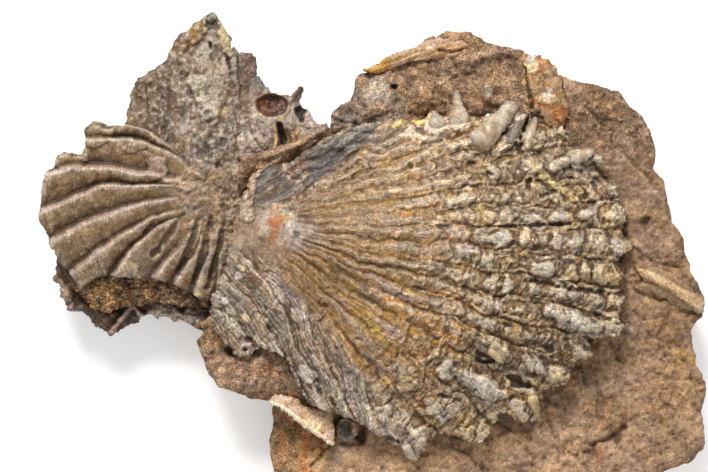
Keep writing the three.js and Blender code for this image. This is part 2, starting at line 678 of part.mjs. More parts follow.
const rock = {
  outline: ROCK_OUTLINE,
  step: 4.5,
  inner: scatter(ROCK_OUTLINE, 4.6),
  spacing: 3,
  top: (x, y) => rockSurface(x, y) + 0.7 * noise(x, y, 6),
  under: flatAt(0),
  wall: [[0.2, 0.3], [0.55, 0.8], [0.9, 1.6], [1, 3]],
  ragged: 1.2,
  colour: COLOURS.limestone,
};

function meshOf(name, solid, colour) {
  const mesh = solid.getMesh();
  const geometry = new THREE.BufferGeometry();
  const positions = new Float32Array(mesh.numVert * 3);
  for (let i = 0; i < mesh.numVert; i += 1) {
    positions.set(mesh.vertProperties.subarray(i * mesh.numProp, i * mesh.numProp + 3), i * 3);
  }
  geometry.setAttribute("position", new THREE.BufferAttribute(positions, 3));
  geometry.setIndex(new THREE.BufferAttribute(mesh.triVerts, 1));
  geometry.computeVertexNormals();
  const material = new THREE.MeshStandardMaterial({ color: colour, roughness: 0.8, metalness: 0 });
  const made = new THREE.Mesh(geometry, material);
  made.name = name;
  return made;
}

// Each piece beds into those listed after it, and all of them bed into the block.
const cluster = new THREE.Group();
const beds = [];
for (const [name, piece] of [...Object.entries(pieces), ["matrix_rock", rock]]) {
  const cut = beds.reduce((solid, bed) => solid.subtract(bed), relief(piece));
  cluster.add(meshOf(name, largestBody(cut), piece.colour));
  beds.push(bedOf(piece));
}

export default cluster;
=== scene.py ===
"""The fossil bivalve cluster, dressed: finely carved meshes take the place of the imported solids.

Lengths are millimetres in the row's frame until a mesh is made: x to the right, y away, z up.
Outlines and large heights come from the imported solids. Ribs, pleats, lamellae, spines, grain and
colours are worked out here.

In each piece s is its relief, and wx and wy are x and y with a wobble, so that nothing runs quite
straight. The last number given to noise, fractal, cells or flakes is a layer, and the one given to
noise alone or before the octaves is the size of the bumps.
"""

import math

import bpy
import numpy as np
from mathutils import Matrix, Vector
from mathutils.bvhtree import BVHTree


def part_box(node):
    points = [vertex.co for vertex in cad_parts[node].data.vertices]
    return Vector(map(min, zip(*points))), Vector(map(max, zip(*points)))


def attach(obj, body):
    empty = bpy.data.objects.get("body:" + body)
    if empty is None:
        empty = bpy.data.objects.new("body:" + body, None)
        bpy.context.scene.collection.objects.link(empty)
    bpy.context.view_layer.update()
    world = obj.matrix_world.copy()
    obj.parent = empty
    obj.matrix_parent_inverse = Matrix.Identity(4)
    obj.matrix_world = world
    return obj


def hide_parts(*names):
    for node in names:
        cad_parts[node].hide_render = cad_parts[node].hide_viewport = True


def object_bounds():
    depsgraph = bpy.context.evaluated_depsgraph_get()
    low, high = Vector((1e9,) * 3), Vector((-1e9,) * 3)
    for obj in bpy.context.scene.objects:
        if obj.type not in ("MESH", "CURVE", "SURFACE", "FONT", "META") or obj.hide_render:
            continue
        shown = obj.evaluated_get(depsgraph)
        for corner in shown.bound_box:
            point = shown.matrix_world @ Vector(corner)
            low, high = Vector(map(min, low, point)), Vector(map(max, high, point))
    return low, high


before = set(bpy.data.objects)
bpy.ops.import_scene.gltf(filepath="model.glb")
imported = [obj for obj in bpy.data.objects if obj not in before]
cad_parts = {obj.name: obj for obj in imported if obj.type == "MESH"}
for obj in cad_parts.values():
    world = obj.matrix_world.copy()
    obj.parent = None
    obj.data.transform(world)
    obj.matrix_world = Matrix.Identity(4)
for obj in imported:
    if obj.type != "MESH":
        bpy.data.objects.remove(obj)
cad_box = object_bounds()

MM = 0.001  # metres in a millimetre

# ---- What the solids are built round ----
BEAK = (-32.0, 8.0)  # where the ribs of the file shell start
HINGE = (-37.0, 14.0)  # where the oyster's pleats start
BED = 18.9  # height of the bed that the file shell lies in
# Heights of the undersides, most of them sunk in the block. The oyster's two valves have curved ones.
FLOORS = {
    "matrix_rock": 0, "ribbed_valve": BED, "ribbed_lower_valve": 13, "oyster_fill": 11, "cup_oyster": 14,
    "rim_shell": 24, "crust_shell": 24, "shell_splinter": 16, "disc_shell": 16,
}

# Direction of each rib in degrees, 35 and 85 mm from the beak.
RIBS = [
    (24.3, 24.3), (20.4, 20.4), (17.2, 16.2), (11.5, 10.6), (6.2, 5.1), (1.8, 1.2), (-2.8, -3.4),
    (-8.2, -7.7), (-14.6, -12.2), (-18.5, -16.4), (-23, -21.3), (-27.5, -25.4), (-34.5, -34.2), (-42, -42),
    (-52, -53),
]
# Direction of each pleat's crest in degrees, 20 and 45 mm from the hinge.
PLEATS = [
    (135, 151), (141, 164), (161, 171.5), (168, 184), (183, 194.5), (197, 208), (206, 222), (228, 236),
    (241, 244), (254, 253), (268, 264),
]
PLEAT_TURN = 0.8  # share of a pleat's width that slopes down before the rise to the next crest


# ---- Colours ----
def srgb(red, green, blue):
    value = np.array([red, green, blue]) / 255
    return np.where(value <= 0.04045, value / 12.92, ((value + 0.055) / 1.055) ** 2.4)


PALETTE = {
    "white": srgb(216, 206, 194),
    "pale": srgb(196, 180, 158),
    "cream": srgb(206, 180, 134),
    "butter": srgb(204, 168, 84),
    "gold": srgb(184, 128, 40),
    "ochre": srgb(158, 116, 54),
    "orange": srgb(188, 108, 40),
    "rust": srgb(128, 76, 40),
    "redbrown": srgb(112, 74, 60),
    "tan": srgb(160, 128, 94),
    "brown": srgb(116, 90, 66),
    "umber": srgb(78, 58, 41),
    "dark": srgb(46, 35, 27),
    "black": srgb(20, 16, 13),
    "lilac": srgb(178, 154, 150),
    "pink": srgb(166, 136, 120),
    "grey": srgb(138, 124, 110),
    "slate": srgb(108, 102, 96),
    "stone": srgb(162, 130, 101),
    "sand": srgb(184, 148, 112),
    "olive": srgb(128, 106, 74),
}


# ---- Scattered numbers that are the same on every run ----
RANDOM = np.random.default_rng(11)
TABLE = RANDOM.random((256, 256)) * 2 - 1
SEEDS = RANDOM.random((256, 256, 3))


def ramp(low, high, value):
    t = np.clip((value - low) / (high - low), 0, 1)
    return t * t * (3 - 2 * t)


def noise(x, y, size, layer):
    """Smooth bumps about as wide as size, from -1 to 1, and different on every layer."""
    u = x / size + 17.3 * layer
    v = y / size - 9.1 * layer
    i = np.floor(u).astype(int)
    j = np.floor(v).astype(int)
    s = ramp(0, 1, u - i)
    t = ramp(0, 1, v - j)
    near = TABLE[i & 255, j & 255] * (1 - s) + TABLE[(i + 1) & 255, j & 255] * s
    far = TABLE[i & 255, (j + 1) & 255] * (1 - s) + TABLE[(i + 1) & 255, (j + 1) & 255] * s
    return near * (1 - t) + far * t


def fractal(x, y, size, octaves, layer):
    """Bumps on bumps, each turned and half as wide as the last."""
    total, weight, sum_of_weights = 0, 1.0, 0.0
    for octave in range(octaves):
        total = total + weight * noise(x, y, size, layer + 11 * octave)
        sum_of_weights += weight
        x, y = 0.8 * x - 0.6 * y, 0.6 * x + 0.8 * y
        size *= 0.5
        weight *= 0.55
    return total / sum_of_weights * 1.6


def cells(x, y, size, layer):
    """Distance to the nearest scattered seed and to the next, in sizes, and the nearest one's number."""
    u, v = x / size, y / size
    i, j = np.floor(u).astype(int), np.floor(v).astype(int)
    first = np.full(u.shape, 9.0)
    second = np.full(u.shape, 9.0)
    number = np.zeros(u.shape)
    for di in (-1, 0, 1):
        for dj in (-1, 0, 1):
            seed = SEEDS[(i + di + 37 * layer) & 255, (j + dj + 91 * layer) & 255]
            away = np.hypot(i + di + seed[..., 0] - u, j + dj + seed[..., 1] - v)
            closer = away < first
            second = np.where(closer, first, np.minimum(second, away))
            number = np.where(closer, seed[..., 2], number)
            first = np.minimum(first, away)
    return first, second, number


def flakes(x, y, size, layer):
    """Uneven cells: 1 on their edges and 0 within, and a number from 0 to 1 for each cell."""
    gap = 0.16  # width of a cell's edge, in sizes
    wobble_x = x + 0.35 * size * noise(x, y, 0.8 * size, layer + 1)
    wobble_y = y + 0.35 * size * noise(x, y, 0.8 * size, layer + 2)
    first, second, number = cells(wobble_x, wobble_y, size, layer)
    return ramp(gap, 0.3 * gap, second - first), number


def polar(centre, x, y):
    """Distance from a centre, and direction in degrees from -180 to 180."""
    dx, dy = x - centre[0], y - centre[1]
    return np.hypot(dx, dy), np.degrees(np.arctan2(dy, dx))


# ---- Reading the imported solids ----
def read_solid(node):
    """A node's points, merged, in millimetres, and its triangles."""
    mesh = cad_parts[node].data
    mesh.calc_loop_triangles()
    flat = np.empty(len(mesh.vertices) * 3)
    mesh.vertices.foreach_get("co", flat)
    corners = np.empty(len(mesh.loop_triangles) * 3, dtype=np.int32)
    mesh.loop_triangles.foreach_get("vertices", corners)
    points, index = np.unique(np.round(flat.reshape(-1, 3) / MM, 3), axis=0, return_inverse=True)
    return points, index.ravel()[corners].reshape(-1, 3)


def layers_over(x, y, start, end):
    """How many upward faces lie over each point, from the directed edges round those faces."""
    layers = np.zeros(x.shape, dtype=int)
    for (ax, ay), (bx, by) in zip(start, end):
        if ay == by:
            continue
        spans = ((ay > y) != (by > y)) & (x < (bx - ax) * (y - ay) / (by - ay) + ax)
        layers += np.where(spans, 1 if by > ay else -1, 0)
    return layers


def outline_of(points, triangles):
    """The edges round a solid's upward faces, and which of them are on its outline seen from above."""
    a, b, c = points[triangles].transpose(1, 0, 2)
    normal = np.cross(b - a, c - a)
    facing_up = triangles[normal[:, 2] > 1e-4 * np.linalg.norm(normal, axis=1)]
    sides = np.concatenate([facing_up[:, [0, 1]], facing_up[:, [1, 2]], facing_up[:, [2, 0]]])
    there = sides[:, 0].astype(np.int64) * len(points) + sides[:, 1]
    back = sides[:, 1].astype(np.int64) * len(points) + sides[:, 0]
    sides = sides[~np.isin(there, back)]
    start, end = points[sides[:, 0], :2], points[sides[:, 1], :2]
    along = end - start
    length = np.linalg.norm(along, axis=1)
    start, end, along, length = (v[length > 1e-3] for v in (start, end, along, length))
    beyond = (start + end) / 2 + 0.1 * np.stack([along[:, 1], -along[:, 0]], axis=1) / length[:, None]
    outer = layers_over(beyond[:, 0], beyond[:, 1], start, end) < 1
    return start, end, outer


def distance_inside(x, y, outline):
    """Distance to an outline, positive inside it."""
    start, end, outer = outline
    flat_x, flat_y = x.ravel(), y.ravel()
    inside = layers_over(flat_x, flat_y, start, end) > 0
    start, end = start[outer], end[outer]
    along = end - start
    square = (along ** 2).sum(axis=1)
    nearest = np.empty(flat_x.size)
    for part in np.array_split(np.arange(flat_x.size), max(1, flat_x.size * len(start) // 3_000_000)):
        dx = flat_x[part, None] - start[:, 0]
        dy = flat_y[part, None] - start[:, 1]
        share = np.clip((dx * along[:, 0] + dy * along[:, 1]) / square, 0, 1)
        nearest[part] = np.hypot(dx - share * along[:, 0], dy - share * along[:, 1]).min(axis=1)
    return np.where(inside, nearest, -nearest).reshape(x.shape)


SOLIDS = {node: read_solid(node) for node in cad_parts}
OUTLINES = {node: outline_of(*solid) for node, solid in SOLIDS.items()}

SAMPLE = 1.0  # distance between the places where the solids' heights are read
low_corner, high_corner = (np.array(corner) / MM for corner in cad_box)
SAMPLE_X = np.arange(low_corner[0] - 3, high_corner[0] + 4, SAMPLE)
SAMPLE_Y = np.arange(low_corner[1] - 3, high_corner[1] + 4, SAMPLE)
SKY = high_corner[2] + 5
UNDERGROUND = -5.0
OFF_EDGES = (0.013, 0.017)  # moves a ray, so that it doesn't run along an edge


def heights_seen(nodes, from_below=False):
    """The height of the first surface met at each sample, and which of the nodes it belongs to."""
    points, triangles, owner = [], [], []
    for number, node in enumerate(nodes):
        own_points, own_triangles = SOLIDS[node]
        triangles.extend((own_triangles + sum(len(p) for p in points)).tolist())
        points.append(own_points)
        owner.extend([number] * len(own_triangles))
    tree = BVHTree.FromPolygons(np.concatenate(points).tolist(), triangles)
    height = np.full((len(SAMPLE_Y), len(SAMPLE_X)), np.nan)
    seen = np.full(height.shape, -1)
    start, way = (UNDERGROUND, Vector((0, 0, 1))) if from_below else (SKY, Vector((0, 0, -1)))
    for row, y in enumerate(SAMPLE_Y):
        for column, x in enumerate(SAMPLE_X):
            origin = Vector((x + OFF_EDGES[0], y + OFF_EDGES[1], start))
            place, _, face, _ = tree.ray_cast(origin, way)
            if place is not None:
                height[row, column] = place.z
                seen[row, column] = owner[face]
    return height, seen


def blur_matrix(count, spread):
    """Spreads a row of evenly spaced values, spread measured in their spacing."""
    away = np.arange(count)[:, None] - np.arange(count)[None, :]
    return np.exp(-0.5 * (away / spread) ** 2) / (spread * math.sqrt(2 * math.pi))


def blur(values, spread):
    rows, columns = values.shape[:2]
    down, across = blur_matrix(rows, spread), blur_matrix(columns, spread)
    weight = down.sum(axis=1)[:, None] * across.sum(axis=1)[None, :]
    return down @ values @ across / weight


def fitted_surface(height, known, spread):
    """A plane fitted round every sample to the known heights near it, and wider where few are near."""
    x, y = np.meshgrid(SAMPLE_X, SAMPLE_Y)
    z = np.where(known, height, 0)
    surface = np.full(x.shape, z[known].mean())
    for width in (16 * spread, 8 * spread, 4 * spread, 2 * spread, spread):
        down, across = blur_matrix(len(SAMPLE_Y), width), blur_matrix(len(SAMPLE_X), width)
        share, mx, my, mz, xx, xy, yy, xz, yz = (
            down @ (known * value) @ across
            for value in (1.0, x, y, z, x * x, x * y, y * y, x * z, y * z)
        )
        safe = share + 1e-9
        mx, my, mz = mx / safe, my / safe, mz / safe
        steady = 0.1 * width ** 2
        xx, yy, xy = xx / safe - mx * mx + steady, yy / safe - my * my + steady, xy / safe - mx * my
        xz, yz = xz / safe - mx * mz, yz / safe - my * mz
        spread_of_both = xx * yy - xy * xy
        slope_x = (xz * yy - yz * xy) / spread_of_both
        slope_y = (yz * xx - xz * xy) / spread_of_both
        plane = mz + slope_x * (x - mx) + slope_y * (y - my)
        surface += ramp(0.02, 0.2, share) * (plane - surface)
    return np.clip(surface, z[known].min() - 2, z[known].max() + 2)


def resample_matrix(wanted, samples):
    """Weights that read smooth values between evenly spaced samples."""
    place = (wanted - samples[0]) / SAMPLE
    before = np.clip(np.floor(place).astype(int), 1, len(samples) - 3)
    t = place - before
    weights = [
        -0.5 * t + t ** 2 - 0.5 * t ** 3,
        1 - 2.5 * t ** 2 + 1.5 * t ** 3,
        0.5 * t + 2 * t ** 2 - 1.5 * t ** 3,
        -0.5 * t ** 2 + 0.5 * t ** 3,
    ]
    matrix = np.zeros((len(wanted), len(samples)))
    for offset, weight in zip((-1, 0, 1, 2), weights):
        matrix[np.arange(len(wanted)), before + offset] += weight
    return matrix


NODES = list(SOLIDS)
SEEN_HEIGHT, SEEN_NODE = heights_seen(NODES)


# ---- A piece as a relief ----
class Relief:
    """A piece seen from above: a grid of points with heights, colours and distance in from the outline."""

    def __init__(self, node, step, spread, ragged, ragged_size):
        """step is the grid's spacing, spread how far heights are smoothed, ragged how uneven the edge is."""
        self.node, self.step = node, step
        low, high = (np.array(corner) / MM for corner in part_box(node))
        margin = 1.2
        self.row_y = np.arange(low[1] - margin, high[1] + margin + step, step)
        self.column_x = np.arange(low[0] - margin, high[0] + margin + step, step)
        self.x, self.y = np.meshgrid(self.column_x, self.row_y)
        self.clean_inside = self.inside_of(node)
        edge = self.fractal(ragged_size, 4, 3)
        self.inside = self.clean_inside + ragged * (edge - 0.25)
        self.z = self.read(SEEN_HEIGHT, SEEN_NODE == NODES.index(node), spread)
        self.tint = np.zeros((*self.x.shape, 3))
        # Wear makes a surface shine, grain makes it rough, and streaks follow the flow.
        self.wear = np.full(self.x.shape, 0.5)
        self.grain = np.full(self.x.shape, 0.5)
        self.flow = np.stack([self.x, self.y, self.x], axis=-1)

    def reach(self, amount, *nodes):
        """Grows the piece over the thin gaps between it and its neighbours."""
        others = np.maximum.reduce([self.inside_of(node) for node in nodes])
        self.inside = self.inside + amount * ramp(-1.8, -0.5, others)

    def run_along(self, mask, along, across):
        """Where the mask is above a half, fine streaks run along the first of two coordinates."""
        chosen = mask > 0.5
        stretch = 0.22  # streaks are between four and five times as long as wide
        self.flow[chosen, 0] = along[chosen] * stretch
        self.flow[chosen, 1] = across[chosen]
        self.flow[chosen, 2] = along[chosen]

    def inside_of(self, node):
        return distance_inside(self.x, self.y, OUTLINES[node])

    def read(self, height, known, spread):
        """Heights of the solids on this grid, smoothed over about spread."""
        surface = fitted_surface(height, known, spread / SAMPLE)
        down = resample_matrix(self.row_y, SAMPLE_Y)
        across = resample_matrix(self.column_x, SAMPLE_X)
        return down @ surface @ across.T

    def blurred(self, values, width):
        return blur(values, width / self.step)

    def paint(self, mask, colour):
        mask = np.clip(mask, 0, 1)[..., None]
        self.tint += mask * (PALETTE[colour] - self.tint)

    def mosaic(self, mask, number, colours):
        """Gives each flake, by its number, one of the colours."""
        for k, colour in enumerate(colours):
            self.paint(mask * ((number * len(colours)).astype(int) == k), colour)

    def shade(self, amount):
        """Lighter where amount is positive, darker where it is negative."""
        self.tint *= np.exp(amount)[..., None]

    def spot(self, x, y, length, width, turn=0, rough=0.25, layer=5):
        """1 in the middle of an oval and 0 at its edge and outside."""
        c, s = math.cos(math.radians(turn)), math.sin(math.radians(turn))
        dx, dy = self.x - x, self.y - y
        away = np.hypot((dx * c + dy * s) / (length / 2), (dy * c - dx * s) / (width / 2))
        crumble = rough * self.noise(0.3 * min(length, width) + 0.3, layer)
        return np.clip(1 - away - crumble, 0, 1)

    def line(self, points, width, rough=0.2, layer=7):
        """1 on a line through the points and 0 at its edges and outside."""
        away = np.full(self.x.shape, 1e3)
        for (ax, ay), (bx, by) in zip(points, points[1:]):
            dx, dy = self.x - ax, self.y - ay
            span = max(1e-6, (bx - ax) ** 2 + (by - ay) ** 2)
            share = np.clip((dx * (bx - ax) + dy * (by - ay)) / span, 0, 1)
            away = np.minimum(away, np.hypot(dx - share * (bx - ax), dy - share * (by - ay)))
        crumble = rough * self.noise(0.5 * width + 0.3, layer)
        return np.clip(1 - away / (width / 2) - crumble, 0, 1)

    def area(self, points, soft, rough=0.8):
        """1 inside a closed outline, fading to 0 across its edge."""
        corners = np.array(points, dtype=float)
        following = np.roll(corners, -1, axis=0)
        if np.cross(corners, following).sum() < 0:
            corners, following = following[::-1], corners[::-1]
        inside = distance_inside(self.x, self.y, (corners, following, np.full(len(corners), True)))
        wobble = rough * self.fractal(3.0, 3, 9)
        return ramp(-soft, soft, inside + wobble)

    def fractal(self, size, octaves, layer):
        return fractal(self.x, self.y, size, octaves, layer)

    def noise(self, size, layer):
        return noise(self.x, self.y, size, layer)

    def patches(self, size, octaves, layer, count):
        return [self.fractal(size, octaves, layer + k) for k in range(count)]

    def above(self, width):
        """How far each point stands above what lies around it."""
        return self.z - self.blurred(self.z, width)

    def coats(self, zone, *rows):
        """Paints a zone, or everywhere if it is 1, as values go from low to high.

        Each row is strength, low, high, values, colour.
        """
        for strength, low, high, values, colour in rows:
            self.paint(strength * zone * ramp(low, high, values), colour)

    def stains(self, table, rough, full=0.5):
        for x, y, length, width, turn, colour, strength in table:
            mask = self.spot(x, y, length, width, turn, rough)
            self.paint(strength * ramp(0, full, mask), colour)

    def finish(self, name, slot, material, floor=None, **walls):
        """Makes the piece: the relief, its walls down to the floor, and its underside."""
        floor = FLOORS[self.node] if floor is None else floor
        body = Body()
        carve(body, self, floor, **walls)
        body.finish(name, slot, material, self.node)

    def ridges(self, table, rough):
        """Raises humps along lines. Each row is points, width, height."""
        for points, width, rise in table:
            self.z += rise * dome(self.line(points, width, rough))

    def hollows(self, table, rough, layer, layer_step):
        """Sinks pits and gives back where they are. Each row is place, length, width, turn, depth."""
        sunk = np.zeros(self.x.shape)
        for k, (x, y, length, width, turn, deep) in enumerate(table):
            mask = self.spot(x, y, length, width, turn, rough, layer + k * layer_step)
            self.z -= deep * ramp(0, 0.6, mask)
            sunk = np.maximum(sunk, ramp(0, 0.5, mask))
        return sunk

    def round_edge(self, drop, width):
        self.z -= drop * np.exp(-np.clip(self.inside, 0, None) / width)


def dome(mask):
    """A round hump from a mask that falls evenly to 0 at its edge."""
    return np.sqrt(np.clip(1 - (1 - mask) ** 2, 0, 1)) * (mask > 0)


# ---- Meshes ----
def kept_cells(keep):
    """Grid cells whose four corners are kept, as one patch that never touches itself at a corner only."""
    cell = keep[:-1, :-1] & keep[1:, :-1] & keep[:-1, 1:] & keep[1:, 1:]
    cell[0], cell[-1], cell[:, 0], cell[:, -1] = False, False, False, False
    while True:
        a, b, c, d = cell[:-1, :-1], cell[:-1, 1:], cell[1:, :-1], cell[1:, 1:]
        touching = (a & d & ~b & ~c) | (b & c & ~a & ~d)
        if not touching.any():
            break
        for rows, columns in ((0, 0), (0, 1), (1, 0), (1, 1)):
            block = cell[rows:rows + touching.shape[0], columns:columns + touching.shape[1]]
            block &= ~touching
    patch = np.zeros(cell.shape, dtype=int)
    largest, count = 0, 0
    for start in zip(*np.nonzero(cell)):
        if patch[start]:
            continue
        count += 1
        patch[start] = count
        open_cells, size = [start], 0
        while open_cells:
            row, column = open_cells.pop()
            size += 1
            for near in ((row + 1, column), (row - 1, column), (row, column + 1), (row, column - 1)):
                if cell[near] and not patch[near]:
                    patch[near] = count
                    open_cells.append(near)
        if size > largest:
            largest, winner = size, count
    return patch == winner


def border_loops(cell, number_of):
    """The patch's edges joined into loops of point numbers, with the patch on their left."""
    rows, columns = np.nonzero(cell)
    follows = {}
    sides = (
        ((-1, 0), (0, 0), (0, 1)),
        ((0, 1), (0, 1), (1, 1)),
        ((1, 0), (1, 1), (1, 0)),
        ((0, -1), (1, 0), (0, 0)),
    )
    for (down, right), start, end in sides:
        bare = ~cell[rows + down, columns + right]
        starts = number_of[rows[bare] + start[0], columns[bare] + start[1]]
        ends = number_of[rows[bare] + end[0], columns[bare] + end[1]]
        follows.update(zip(starts.tolist(), ends.tolist()))
    loops = []
    while follows:
        first, at = follows.popitem()
        loop = [first]
        while at != first:
            loop.append(at)
            at = follows.pop(at)
        loops.append(np.array(loop))
    return loops


class Body:
    """Points, faces and surface values gathered into one mesh."""

    def __init__(self):
        self.points, self.faces, self.tint, self.wear, self.grain, self.flow = [], [], [], [], [], []
        self.count = 0

    def add(self, points, faces, tint, wear, grain, flow=None):
        start = self.count
        self.points.append(points)
        self.faces.extend(np.asarray(face) + start for face in faces)
        self.tint.append(np.broadcast_to(tint, points.shape))
        self.wear.append(np.broadcast_to(wear, len(points)))
        self.grain.append(np.broadcast_to(grain, len(points)))
        self.flow.append(points if flow is None else flow)
        self.count += len(points)
        return start

    def finish(self, name, slot, material, *nodes):
        """Makes the mesh, which takes the place of the nodes."""
        points = np.concatenate(self.points) * MM
        mesh = bpy.data.meshes.new(name)
        mesh.vertices.add(len(points))
        mesh.vertices.foreach_set("co", points.ravel())
        sizes = np.concatenate([np.full(len(block), block.shape[1]) for block in self.faces])
        corners = np.concatenate([block.ravel() for block in self.faces])
        mesh.loops.add(len(corners))
        mesh.loops.foreach_set("vertex_index", corners.astype(np.int32))
        mesh.polygons.add(len(sizes))
        starts = np.concatenate([[0], np.cumsum(sizes)[:-1]])
        mesh.polygons.foreach_set("loop_start", starts.astype(np.int32))
        mesh.polygons.foreach_set("use_smooth", np.ones(len(sizes), dtype=bool))
        mesh.update(calc_edges=True)
        tint = np.clip(np.concatenate(self.tint), 0.002, 0.9)  # nothing is quite black or white
        opaque = np.ones((len(tint), 1))
        for label, kind, key, values in (
            ("tint", "FLOAT_COLOR", "color", np.concatenate([tint, opaque], axis=1)),
            ("wear", "FLOAT", "value", np.concatenate(self.wear)),
            ("grain", "FLOAT", "value", np.concatenate(self.grain)),
            ("flow", "FLOAT_VECTOR", "vector", np.concatenate(self.flow)),
        ):
            mesh.attributes.new(label, kind, "POINT").data.foreach_set(key, values.ravel())
        mesh.materials.append(material)
        piece = bpy.data.objects.new(name, mesh)
        bpy.context.scene.collection.objects.link(piece)
        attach(piece, "root")
        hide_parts(*nodes)


def carve(body, relief, floor, rows, rough, rough_size, wall_tint, inset=0.0, bulge=0.0,
          hole=None, hole_floor=0.0):
    """Adds a relief to a body as a closed solid.

    floor is a height, for a flat underside, or a grid of heights. inset is how far the wall draws in
    towards the floor, rough how uneven it is, and bulge how far its middle stands out. rows is how many
    bands of faces it has. hole is a mask of points to leave out down to hole_floor, where another piece
    hides them.
    """
    keep = relief.inside > 0
    if hole is not None:
        keep &= ~hole
    cell = kept_cells(keep)
    used = np.zeros(keep.shape, dtype=bool)
    for rows_from, columns_from in ((0, 0), (0, 1), (1, 0), (1, 1)):
        shape = cell.shape
        used[rows_from:rows_from + shape[0], columns_from:columns_from + shape[1]] |= cell
    number_of = np.full(keep.shape, -1)
    number_of[used] = np.arange(used.sum())
    points = np.stack([relief.x[used], relief.y[used], relief.z[used]], axis=1)
    tint = relief.tint[used]
    wear, grain = (np.clip(values[used], 0, 1) for values in (relief.wear, relief.grain))
    r, c = np.nonzero(cell)
    quads = np.stack(
        [number_of[r, c], number_of[r, c + 1], number_of[r + 1, c + 1], number_of[r + 1, c]], axis=1
    )
    loops = border_loops(cell, number_of)
    grid_row, grid_column = np.nonzero(used)
    slope_y, slope_x = np.gradient(relief.inside, relief.step)
    wide = relief.blurred(relief.clean_inside, 2.0)
    out_y, out_x = np.gradient(-wide, relief.step)
    is_outer = []
    for loop in loops:
        at = grid_row[loop], grid_column[loop]
        outer = relief.inside[at].mean() < 2 * relief.step
        is_outer.append(outer)
        if outer:
            gx, gy = slope_x[at], slope_y[at]
            square = np.maximum(gx ** 2 + gy ** 2, 0.2)
            move = -relief.inside[at] / square
            limit = 1.3 * relief.step / np.sqrt(square)
            move = np.clip(move, -limit, limit)
            points[loop, 0] += move * gx
            points[loop, 1] += move * gy
    start = body.add(points, [quads], tint, wear, grain, relief.flow[used])
    mirrored = not np.isscalar(floor)
    if mirrored:
        below = points.copy()
        thinnest = 0.4
        below[:, 2] = np.minimum(floor[used], points[:, 2] - thinnest)
        stain = 0.25 * fractal(below[:, 0], below[:, 1], 5.0, 4, 21)
        under_tint = PALETTE[wall_tint] * np.exp(stain)[:, None]
        under = body.add(below, [quads[:, ::-1]], under_tint, wear * 0.5, grain)
    for loop, outer in zip(loops, is_outer):
        edge = points[loop]
        at = grid_row[loop], grid_column[loop]
        normal = np.stack([out_x[at], out_y[at]], axis=1)
        normal /= np.maximum(np.linalg.norm(normal, axis=1), 1e-6)[:, None]
        base = floor if outer else hole_floor
        bottom = below[loop, 2] if mirrored else np.full(len(loop), float(base))
        upper = start + loop
        travelled = np.concatenate([[0], np.cumsum(np.hypot(*np.diff(edge[:, :2], axis=0).T))])
        edge_tint = 0.35 * tint[loop] + 0.65 * PALETTE[wall_tint]
        count = rows if outer else 2
        for row in range(1, count + 1):
            share = row / count
            if mirrored and row == count:
                lower = under + loop
            else:
                depth = edge[:, 2] * (1 - share) + bottom * share
                out = np.zeros(len(loop))
                if outer:
                    blend = min(1.0, 2.5 * share)
                    uneven = fractal(travelled, depth, rough_size, 4, 31)
                    out = bulge * math.sin(math.pi * share) + blend * rough * (uneven - 0.5)
                    out -= inset * share ** 1.5
                moved = np.column_stack([edge[:, 0] + out * normal[:, 0],
                                         edge[:, 1] + out * normal[:, 1], depth])
                stain = 0.35 * fractal(travelled, depth * 1.5, 4.0, 4, 33)
                stain = stain + 0.25 * noise(travelled, depth, 0.9, 35)
                lower = body.add(moved, [], edge_tint * np.exp(stain)[:, None], 0.3, 0.8)
                lower = lower + np.arange(len(loop))
            body.faces.append(np.stack([upper, lower, np.roll(lower, -1), np.roll(upper, -1)], axis=1))
            upper = lower
        if not mirrored:
            body.faces.append(upper[::-1][None, :])


